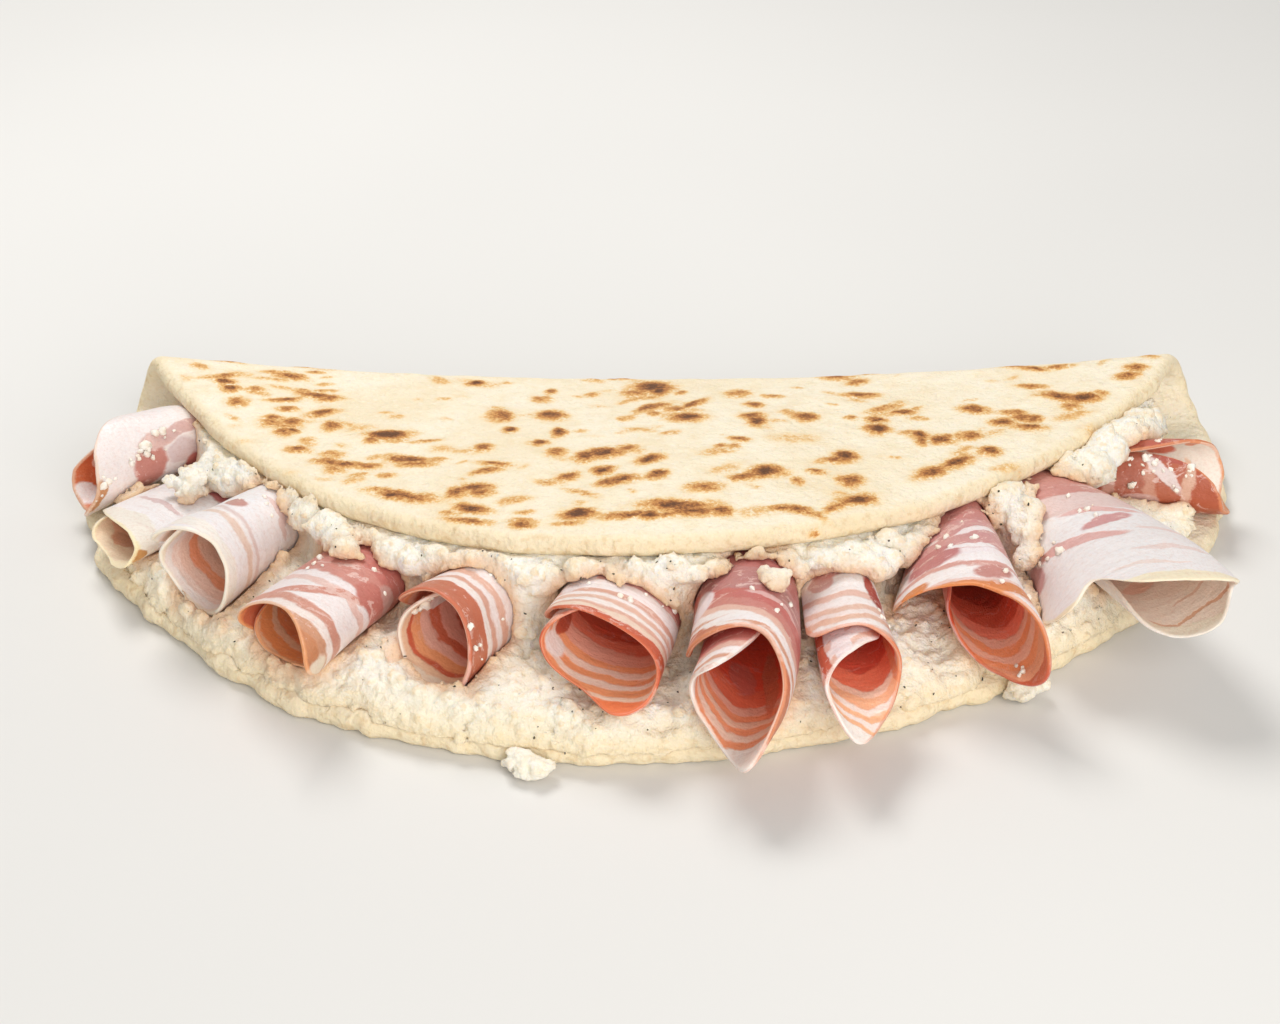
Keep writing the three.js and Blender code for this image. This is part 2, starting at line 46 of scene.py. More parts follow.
# ---- sizes, the same as the part's ---------------------------------------
A, B, VC, T = 140.5, 126.5, -4.0, 5.0            # half width, half depth, shift, thickness
OUT_C = [0.9836, -0.0013, -0.0125, 0.0217, 0.0164]
OUT_S = [0.0, -0.0307, 0.0098, -0.0309, 0.0030]
TURN = math.pi - 0.10
RIM_ROUND = 2.7
SLICE_R, SLICE_T, REACH, PINCH_START = 50.0, 1.3, 0.62, 0.35
BED, EDGE, SPAN = 6.2, 6.5, 130.0

ROLLS = [
    dict(name="roll_01", at=(-126.50, -18.09, 13.40), az=-46, roll=-8.6, rm=10.5, sz=0.958, egg=-0.113, tap=0.5, gap=2.69, open=3, phi_out=149.1, Phi=385, twist=11.9, tip=0.145, a0=0.3, bend=5, rise=0.4, back=0.152, pinch=0.42, lift=-2, cut=[(0.6, 0.12, 2.5), (0.53, 0.06, 2.5)]),
    dict(name="roll_02", at=(-116.20, -44.30, 11.90), az=-33.4, roll=5.8, rm=12.63, sz=0.35, egg=-0.001, tap=-0.105, gap=1.8, open=1.8, phi_out=192.5, Phi=450, twist=-12, tip=0.188, a0=0.3, bend=4, rise=5, back=0.397, pinch=0.681, lift=0.74),
    dict(name="roll_03", at=(-95.60, -62.30, 16.30), az=-25, roll=1, rm=12.8, sz=0.97, egg=0.146, tap=0.75, gap=1.9, open=1, phi_out=210.7, Phi=500, twist=11.6, tip=0.07, a0=0.405, bend=3.1, rise=6, back=0.511, pinch=0.989, lift=1.2, cut=[(0.36, 0.09, 2), (0.67, 0.14, 5), (0.14, 0.06, -3.5)]),
    dict(name="roll_04", at=(-77.33, -99.01, 16.94), az=-20, roll=11.8, rm=15.22, sz=0.6, egg=0.047, tap=0.13, gap=1.9, open=0.3, phi_out=230.7, Phi=453.2, twist=-11.3, tip=0.407, a0=0.2, bend=6, rise=6, back=0.496, pinch=0.97, lift=1.02, cut=[(0.47, 0.05, 1.5)]),
    dict(name="roll_05", at=(-39.89, -89.61, 15.29), az=-29, roll=7.1, rm=13.46, sz=1.012, egg=0.12, tap=0.75, gap=2.8, open=2, phi_out=199.8, Phi=520, twist=-11.8, tip=0.14, a0=0.35, bend=6, rise=6, back=0.378, pinch=0.775, lift=-0.69, cut=[(0.12, 0.06, -3)]),
    dict(name="roll_06", at=(-9.88, -106.13, 20.09), az=-14.4, roll=-13.4, rm=15.87, sz=0.6, egg=-0.037, tap=0.364, gap=2.08, open=0, phi_out=195.9, Phi=490.3, twist=-24.3, tip=0.224, a0=0.14, bend=-2.7, rise=8.1, back=0.486, pinch=0.858, lift=4.6, cut=[(0, 0.06, -5)]),
    dict(name="roll_07", at=(16.83, -122.75, 20.03), az=-13, roll=-5.2, rm=12.53, sz=1.103, egg=0.17, tap=0.052, gap=2.62, open=0.4, phi_out=205.9, Phi=484.4, twist=24.2, tip=0.319, a0=0.162, bend=-8.7, rise=4.7, back=0.467, pinch=0.877, lift=-0.37, cut=[(0.22, 0.12, 5.5), (0, 0.06, -6), (0.93, 0.1, -12)]),
    dict(name="roll_08", at=(42.50, -117.67, 17.71), az=6.9, roll=7.7, rm=11.11, sz=0.626, egg=0.25, tap=0.405, gap=2.73, open=2.1, phi_out=133.9, Phi=520, twist=-25, tip=0.5, a0=0.208, bend=3.7, rise=1.8, back=0.8, pinch=1, lift=-0.02, cut=[(0.49, 0.06, 2), (0.14, 0.08, 3.5), (0, 0.05, -4)]),
    dict(name="roll_09", at=(70.12, -97.65, 19.42), az=2.9, roll=3.7, rm=11.54, sz=1.071, egg=0.226, tap=0.408, gap=2.78, open=20.8, phi_out=205.5, Phi=427.8, twist=0, tip=0.394, a0=0.359, bend=1.2, rise=2.7, back=0.516, pinch=0.912, lift=-2.6),
    dict(name="roll_10", at=(109.50, -86.54, 22.00), az=14.8, roll=12.7, rm=13.1, sz=0.682, egg=-0.086, tap=0.077, gap=2.38, open=24.5, phi_out=193, Phi=390.5, twist=-12, tip=0.083, a0=0.407, bend=-9, rise=8.6, back=0.608, pinch=0.929, lift=3.6, cut=[(0.53, 0.09, 9), (0.125, 0.035, 9), (0.8, 0.12, 1.5)]),
    dict(name="roll_11", at=(123.05, -25.98, 13.80), az=80.7, roll=4.7, rm=10, sz=0.989, egg=0.15, tap=0.5, gap=2.19, open=0.2, phi_out=108.5, Phi=388, twist=9.4, tip=0.202, a0=0.5, bend=1.1, rise=-1, back=0.758, pinch=0.55, start=0.7, lift=-6, cut=[(0.45, 0.15, 4), (0.65, 0.1, 2)]),
]

# ---- noise ----------------------------------------------------------------
TABLE = np.random.default_rng(11).random(8192)


def cell_value(i, j, k, seed):
    h = (i * 73856093) ^ (j * 19349663) ^ (k * 83492791) ^ (seed * 40503 + 977)
    return TABLE[(h ^ (h >> 15) ^ (h >> 7)) & 8191]


def smooth(x):
    t = np.clip(x, 0, 1)
    return t * t * (3 - 2 * t)


def noise(P, size, seed=0):
    """Smooth value noise, -1 to 1, with cells of that size."""
    P = np.asarray(P, float) / size + 500.37 + 13.1 * seed
    f = np.floor(P)
    i, j, k = (f[..., c].astype(np.int64) for c in range(3))
    x, y, z = (smooth(P[..., c] - f[..., c]) for c in range(3))
    out = 0
    for di in (0, 1):
        wx = x if di else 1 - x
        for dj in (0, 1):
            wy = y if dj else 1 - y
            for dk in (0, 1):
                wz = z if dk else 1 - z
                out = out + wx * wy * wz * cell_value(i + di, j + dj, k + dk, seed)
    return 2 * out - 1


def fbm(P, size, seed=0, octaves=3, fall=0.5):
    out, amp, total = 0, 1.0, 0.0
    for n in range(octaves):
        out = out + amp * noise(P, size / 2 ** n, seed + n)
        total += amp
        amp *= fall
    return out / total


def stack(*parts):
    return np.stack(np.broadcast_arrays(*parts), -1)


# ---- meshes ---------------------------------------------------------------
def add_mesh(name, verts, quads=None, tris=None, material=None, attrs=None, smooth_faces=True):
    """A mesh object from points in the working frame, with float or vector attributes."""
    verts = (np.asarray(verts, float) + SHIFT) * 0.001
    me = bpy.data.meshes.new(name)
    quads = np.zeros((0, 4), np.int32) if quads is None else np.asarray(quads, np.int32)
    tris = np.zeros((0, 3), np.int32) if tris is None else np.asarray(tris, np.int32)
    loops = np.concatenate([quads.ravel(), tris.ravel()])
    starts = np.concatenate([np.arange(len(quads)) * 4, len(quads) * 4 + np.arange(len(tris)) * 3])
    me.vertices.add(len(verts))
    me.vertices.foreach_set("co", verts.astype(np.float32).ravel())
    me.loops.add(len(loops))
    me.loops.foreach_set("vertex_index", loops.astype(np.int32))
    me.polygons.add(len(starts))
    me.polygons.foreach_set("loop_start", starts.astype(np.int32))
    me.update(calc_edges=True)
    me.polygons.foreach_set("use_smooth", np.full(len(starts), smooth_faces))
    for key, value in (attrs or {}).items():
        value = np.asarray(value, np.float32)
        if value.ndim == 1:
            me.attributes.new(key, "FLOAT", "POINT").data.foreach_set("value", value)
        else:
            me.attributes.new(key, "FLOAT_VECTOR", "POINT").data.foreach_set("vector", value.ravel())
    me.validate()
    ob = bpy.data.objects.new(name, me)
    bpy.context.scene.collection.objects.link(ob)
    if material:
        me.materials.append(material)
    return ob


def piece(ob, slot, *nodes):
    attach(ob, "root")
    if nodes:
        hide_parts(*nodes)
    return ob


def outward(verts, quads, tris=None):
    """Turns all faces over if the closed mesh is inside out."""
    t = np.concatenate([quads[:, [0, 1, 2]], quads[:, [0, 2, 3]]] + ([tris] if tris is not None and len(tris) else []))
    a, b, c = verts[t[:, 0]], verts[t[:, 1]], verts[t[:, 2]]
    if np.einsum("ij,ij->i", a, np.cross(b, c)).sum() < 0:
        quads = quads[:, ::-1]
        tris = tris[:, ::-1] if tris is not None else None
    return quads, tris


# ---- materials ------------------------------------------------------------
def lin(*rgb):
    """Linear colour of an sRGB one given in 0 to 255."""
    c = np.array(rgb, float) / 255
    c = np.where(c <= 0.04045, c / 12.92, ((c + 0.055) / 1.055) ** 2.4)
    return (float(c[0]), float(c[1]), float(c[2]), 1.0)


class Mat:
    """A node material: each method adds one node and gives its output."""

    def __init__(self, name, **sockets):
        self.m = bpy.data.materials.new(name)
        self.m.use_nodes = True
        self.t = self.m.node_tree
        self.t.nodes.clear()
        self.out = self.t.nodes.new("ShaderNodeOutputMaterial")
        self.b = self.t.nodes.new("ShaderNodeBsdfPrincipled")
        self.t.links.new(self.b.outputs[0], self.out.inputs[0])
        for k, v in sockets.items():
            self.b.inputs[k.replace("_", " ")].default_value = v

    def put(self, sock, value):
        if isinstance(value, bpy.types.NodeSocket):
            self.t.links.new(value, sock)
        elif value is not None:
            sock.default_value = value

    def set(self, name, value):
        self.put(self.b.inputs[name], value)

    def attr(self, name, out="Fac"):
        n = self.t.nodes.new("ShaderNodeAttribute")
        n.attribute_name = name
        return n.outputs[out]

    def coords(self, scale=1000.0):
        n = self.t.nodes.new("ShaderNodeTexCoord")
        return self.vec("MULTIPLY", n.outputs["Object"], (scale,) * 3)

    def vec(self, op, a, b=None):
        n = self.t.nodes.new("ShaderNodeVectorMath")
        n.operation = op
        self.put(n.inputs[0], a)
        if b is not None:
            self.put(n.inputs[1], b)
        return n.outputs[0]

    def scaled(self, v, k):
        n = self.t.nodes.new("ShaderNodeVectorMath")
        n.operation = "SCALE"
        self.put(n.inputs[0], v)
        self.put(n.inputs["Scale"], k)
        return n.outputs[0]

    def noise(self, v, scale, detail=3.0, rough=0.5, distort=0.0, out="Fac"):
        n = self.t.nodes.new("ShaderNodeTexNoise")
        self.put(n.inputs["Vector"], v)
        n.inputs["Scale"].default_value = scale
        n.inputs["Detail"].default_value = detail
        n.inputs["Roughness"].default_value = rough
        n.inputs["Distortion"].default_value = distort
        return n.outputs[out]

    def voronoi(self, v, scale, out="Distance", feature="F1", random=1.0, smoothness=None):
        n = self.t.nodes.new("ShaderNodeTexVoronoi")
        n.feature = feature
        self.put(n.inputs["Vector"], v)
        n.inputs["Scale"].default_value = scale
        n.inputs["Randomness"].default_value = random
        if smoothness is not None:
            n.inputs["Smoothness"].default_value = smoothness
        return n.outputs[out]

    def math(self, op, a, b=None, clamp=False):
        n = self.t.nodes.new("ShaderNodeMath")
        n.operation = op
        n.use_clamp = clamp
        self.put(n.inputs[0], a)
        if b is not None:
            self.put(n.inputs[1], b)
        return n.outputs[0]

    def remap(self, v, a, b, c=0.0, d=1.0, kind="SMOOTHSTEP"):
        n = self.t.nodes.new("ShaderNodeMapRange")
        n.interpolation_type = kind
        self.put(n.inputs["Value"], v)
        n.inputs["From Min"].default_value = a
        n.inputs["From Max"].default_value = b
        n.inputs["To Min"].default_value = c
        n.inputs["To Max"].default_value = d
        return n.outputs[0]

    def ramp(self, fac, stops, kind="LINEAR"):
        n = self.t.nodes.new("ShaderNodeValToRGB")
        r = n.color_ramp
        r.interpolation = kind
        while len(r.elements) < len(stops):
            r.elements.new(0.5)
        for e, (p, c) in zip(r.elements, stops):
            e.position = p
            e.color = lin(*c)
        self.put(n.inputs[0], fac)
        return n.outputs[0]

    def mix(self, fac, a, b, mode="MIX"):
        n = self.t.nodes.new("ShaderNodeMix")
        n.data_type = "RGBA"
        n.blend_type = mode
        n.clamp_factor = True
        self.put(n.inputs[0], fac)
        self.put(n.inputs[6], lin(*a) if isinstance(a, tuple) and len(a) == 3 else a)
        self.put(n.inputs[7], lin(*b) if isinstance(b, tuple) and len(b) == 3 else b)
        return n.outputs[2]

    def parted(self, v, axis):
        n = self.t.nodes.new("ShaderNodeSeparateXYZ")
        self.put(n.inputs[0], v)
        return n.outputs[axis]

    def lightness(self, colour):
        n = self.t.nodes.new("ShaderNodeSeparateColor")
        self.put(n.inputs[0], colour)
        return n.outputs[1]

    def spot(self, v, x, y, rx, ry, turn):
        """1 inside an ellipse in the plane of the first two coordinates."""
        n = self.t.nodes.new("ShaderNodeMapping")
        n.vector_type = "TEXTURE"
        self.put(n.inputs["Vector"], v)
        n.inputs["Location"].default_value = (x, y, 0)
        n.inputs["Rotation"].default_value = (0, 0, math.radians(turn))
        n.inputs["Scale"].default_value = (rx, ry, 100000.0)
        m = self.t.nodes.new("ShaderNodeVectorMath")
        m.operation = "LENGTH"
        self.put(m.inputs[0], n.outputs[0])
        return self.remap(m.outputs["Value"], 1.14, 0.84)

    def bump(self, height, distance, strength=1.0, normal=None):
        n = self.t.nodes.new("ShaderNodeBump")
        n.inputs["Strength"].default_value = strength
        n.inputs["Distance"].default_value = distance
        self.put(n.inputs["Height"], height)
        if normal is not None:
            self.put(n.inputs["Normal"], normal)
        return n.outputs[0]


# ---- the folded bread -------------------------------------------------------
def outline(al):
    r = OUT_C[0] + 0 * al
    for k in range(1, 5):
        r = r + OUT_C[k] * np.cos(k * al) + OUT_S[k] * np.sin(k * al)
    turn = np.mod(al, 2 * math.pi)
    return r - 0.024 * np.exp(-((turn - 3.833) / 0.22) ** 2) - 0.026 * np.exp(-((turn - 3.2) / 0.11) ** 2)


def fold_place(u):
    return 8.0 + 6.0 * (u / 135.0) ** 2


def fold_radius(u):
    return 8.2 + 2.3 * (u / 135.0) ** 2


def flap_rise(u):
    return 13.0 * np.exp(-((u / 92.0) ** 2))


def bread_mid(u, v):
    r, y0 = fold_radius(u), fold_place(u)
    lf, z0 = TURN * r, T / 2
    th = np.clip(v, 0, None) / r
    th = np.minimum(th, TURN)
    s = np.clip(v - lf, 0, None)
    x = s / 100
    y = np.where(v <= 0, y0 + v, y0 + r * np.sin(th) - s * math.cos(0.09))
    z = np.where(v <= 0, z0, z0 + r * (1 - np.cos(th)) + flap_rise(u) * (1.45 * x - 0.45 * x ** 3))
    return stack(u, y, z)


def bread_point(u, v, off):
    e = 0.05
    p = bread_mid(u, v)
    n = np.cross(bread_mid(u + e, v) - bread_mid(u - e, v), bread_mid(u, v + e) - bread_mid(u, v - e))
    n /= np.linalg.norm(n, axis=-1, keepdims=True)
    return p + n * np.asarray(off)[..., None], n


def rim_end(side):
    return VC + side * B * float(outline(np.array(side * math.pi / 2)))


def flap_rim(u):
    """Y of the upper flap's rim at each u."""
    u = np.asarray(u, float)
    lo, hi = np.full(u.shape, 26.0), np.full(u.shape, rim_end(1) - 0.05)
    for _ in range(30):
        mid = (lo + hi) / 2
        inside = np.hypot(u / A, (mid - VC) / B) < outline(np.arctan2((mid - VC) / B, u / A))
        lo, hi = np.where(inside, mid, lo), np.where(inside, hi, mid)
    y = bread_mid(u, lo)[..., 1]
    none = np.hypot(u / A, (26.0 - VC) / B) >= outline(np.arctan2((26.0 - VC) / B, u / A))
    return np.where(none, fold_place(u), y)


def flap_under(u, y):
    """Height of the upper flap's underside, and of the fold's inner wall behind it."""
    r = fold_radius(u)
    s = (fold_place(u) + r * math.sin(TURN) - y) / math.cos(0.09)
    ri, dy = r - T / 2, np.maximum(y - fold_place(u), 0)
    back = T / 2 + r + np.sqrt(np.maximum(ri * ri - dy * dy, 0))
    x = np.maximum(s, 0) / 100
    slope = flap_rise(u) * (1.45 - 1.35 * x * x) / 100
    front = T / 2 + r * (1 - math.cos(TURN)) + flap_rise(u) * (1.45 * x - 0.45 * x ** 3) - T / 2 * np.hypot(1, slope)
    return np.where(s < 0, back, front)


def rim_distance(u, y):
    """Distance to the lower flap's rim, positive inside."""
    v = y - fold_place(u)
    al = np.arctan2((v - VC) / B, u / A)
    rr = np.hypot(u / A, (v - VC) / B) + 1e-6
    return np.hypot(u, v - VC) * (outline(al) / rr - 1)


# ---- rolled slices ----------------------------------------------------------
class Roll:
    def __init__(self, p):
        self.__dict__.update(p)
        self.start = p.get("start", PINCH_START)
        self.cut = p.get("cut", [])
        az, rl = math.radians(self.az), math.radians(self.roll)
        self.d = np.array([math.sin(az), -math.cos(az), 0.0])
        side = np.cross(-self.d, (0, 0, 1.0))
        self.s = side * math.cos(rl) + np.array([0, 0, math.sin(rl)])
        self.n = -side * math.sin(rl) + np.array([0, 0, math.cos(rl)])
        self.o = np.array(self.at) - self.d * SLICE_R * REACH

    def roundness(self, a):
        return np.sqrt(np.maximum(1 - 0.86 * np.abs(a) ** 5, 0))

    def front(self, q):
        a = np.clip(2 * q - 1, -1, 1)
        aa = np.sqrt(a * a + 0.0025) - 0.05
        out = SLICE_R * (1 - self.tip * (1 - np.exp(-((aa / self.a0) ** 1.3)))) * self.roundness(a)
        for q0, width, depth in self.cut:
            out = out - depth * np.exp(-(((a + 1) / 2 - q0) / width) ** 2)
        return out

    def rear(self, q):
        return SLICE_R * self.back * self.roundness(np.clip(2 * q - 1, -1, 1))

    def squeeze(self, bb):
        return smooth((self.start - bb) / (self.start + self.back))

    def radius(self, q, bb, spring=True):
        thin = 1 - self.tap * (1 - bb) / 2
        rho = (self.rm - self.gap * self.Phi * q / 360) * thin
        if spring:
            rho = rho + self.open * np.maximum(1 - q / 0.3, 0) ** 1.7 * np.clip(0.35 + bb, 0, 1.35) / 1.35
        return rho

    def point(self, q, b, off, wave=0.0):
        """off runs inward from the outer face."""
        bb = b / SLICE_R
        phi = np.radians(self.phi_out - self.Phi * q + self.twist * (bb - 1))
        thin = 1 - self.tap * (1 - bb) / 2
        rho = (self.rm - self.gap * self.Phi * q / 360 - off) * thin
        rho = rho + self.open * np.maximum(1 - q / 0.3, 0) ** 1.7 * np.clip(0.35 + bb, 0, 1.35) / 1.35
        rho = np.maximum(rho + wave, 0.8)
        w = self.squeeze(bb)
        ex = rho * np.cos(phi) + self.bend * (bb - REACH) ** 2
        ez = (rho * self.sz * np.sin(phi) * (1 + self.egg * np.cos(phi)) * (1 - (1 - self.pinch) * w)
              + self.rise * (bb - REACH) + self.lift * w)
        return self.o + b[..., None] * self.d + ex[..., None] * self.s + ez[..., None] * self.n

    def room(self, P):
        """About how far a point lies outside the rolled tube, negative inside."""
        rel = P - self.o
        b, x, z = rel @ self.d, rel @ self.s, rel @ self.n
        bb = b / SLICE_R
        w = self.squeeze(bb)
        X = x - self.bend * (bb - REACH) ** 2
        k = self.sz * (1 - (1 - self.pinch) * w)
        Z = (z - self.rise * (bb - REACH) - self.lift * w) / k
        Zi = Z
        for _ in range(2):
            Zi = Z / (1 + self.egg * X / (np.hypot(X, Zi) + 1e-6))
        phi, r = np.degrees(np.arctan2(Zi, X)), np.hypot(X, Zi)
        t = np.mod(self.phi_out + self.twist * (bb - 1) - phi, 360)
        best = np.full(b.shape, 99.0)
        wide = self.open > 10
        back = np.minimum(1.0, np.hypot(np.cos(np.radians(phi)), np.sin(np.radians(phi)) * k))
        for turn in (0, 1):
            q = (t + 360 * turn) / self.Phi
            ok = q <= 1
            qq = np.clip(q, 0, 1)
            gate = b - self.front(qq)
            skip = wide & (qq < 0.3) if turn == 0 else False
            rho = self.radius(qq, bb, spring=not wide)
            d = np.maximum((r - rho) * np.maximum(back, 0.45), gate)
            best = np.where(ok & ~np.asarray(skip), np.minimum(best, d), best)
            if wide and turn == 0:
                rs = self.radius(qq, bb) - SLICE_T / 2
                sheet = np.maximum((np.abs(r - rs) - SLICE_T / 2) * np.maximum(back, 0.45), gate)
                best = np.where(ok & (qq < 0.34), np.minimum(best, sheet), best)
        return np.maximum(best, -self.rear(0.5) - b)


ROLL = [Roll(p) for p in ROLLS]


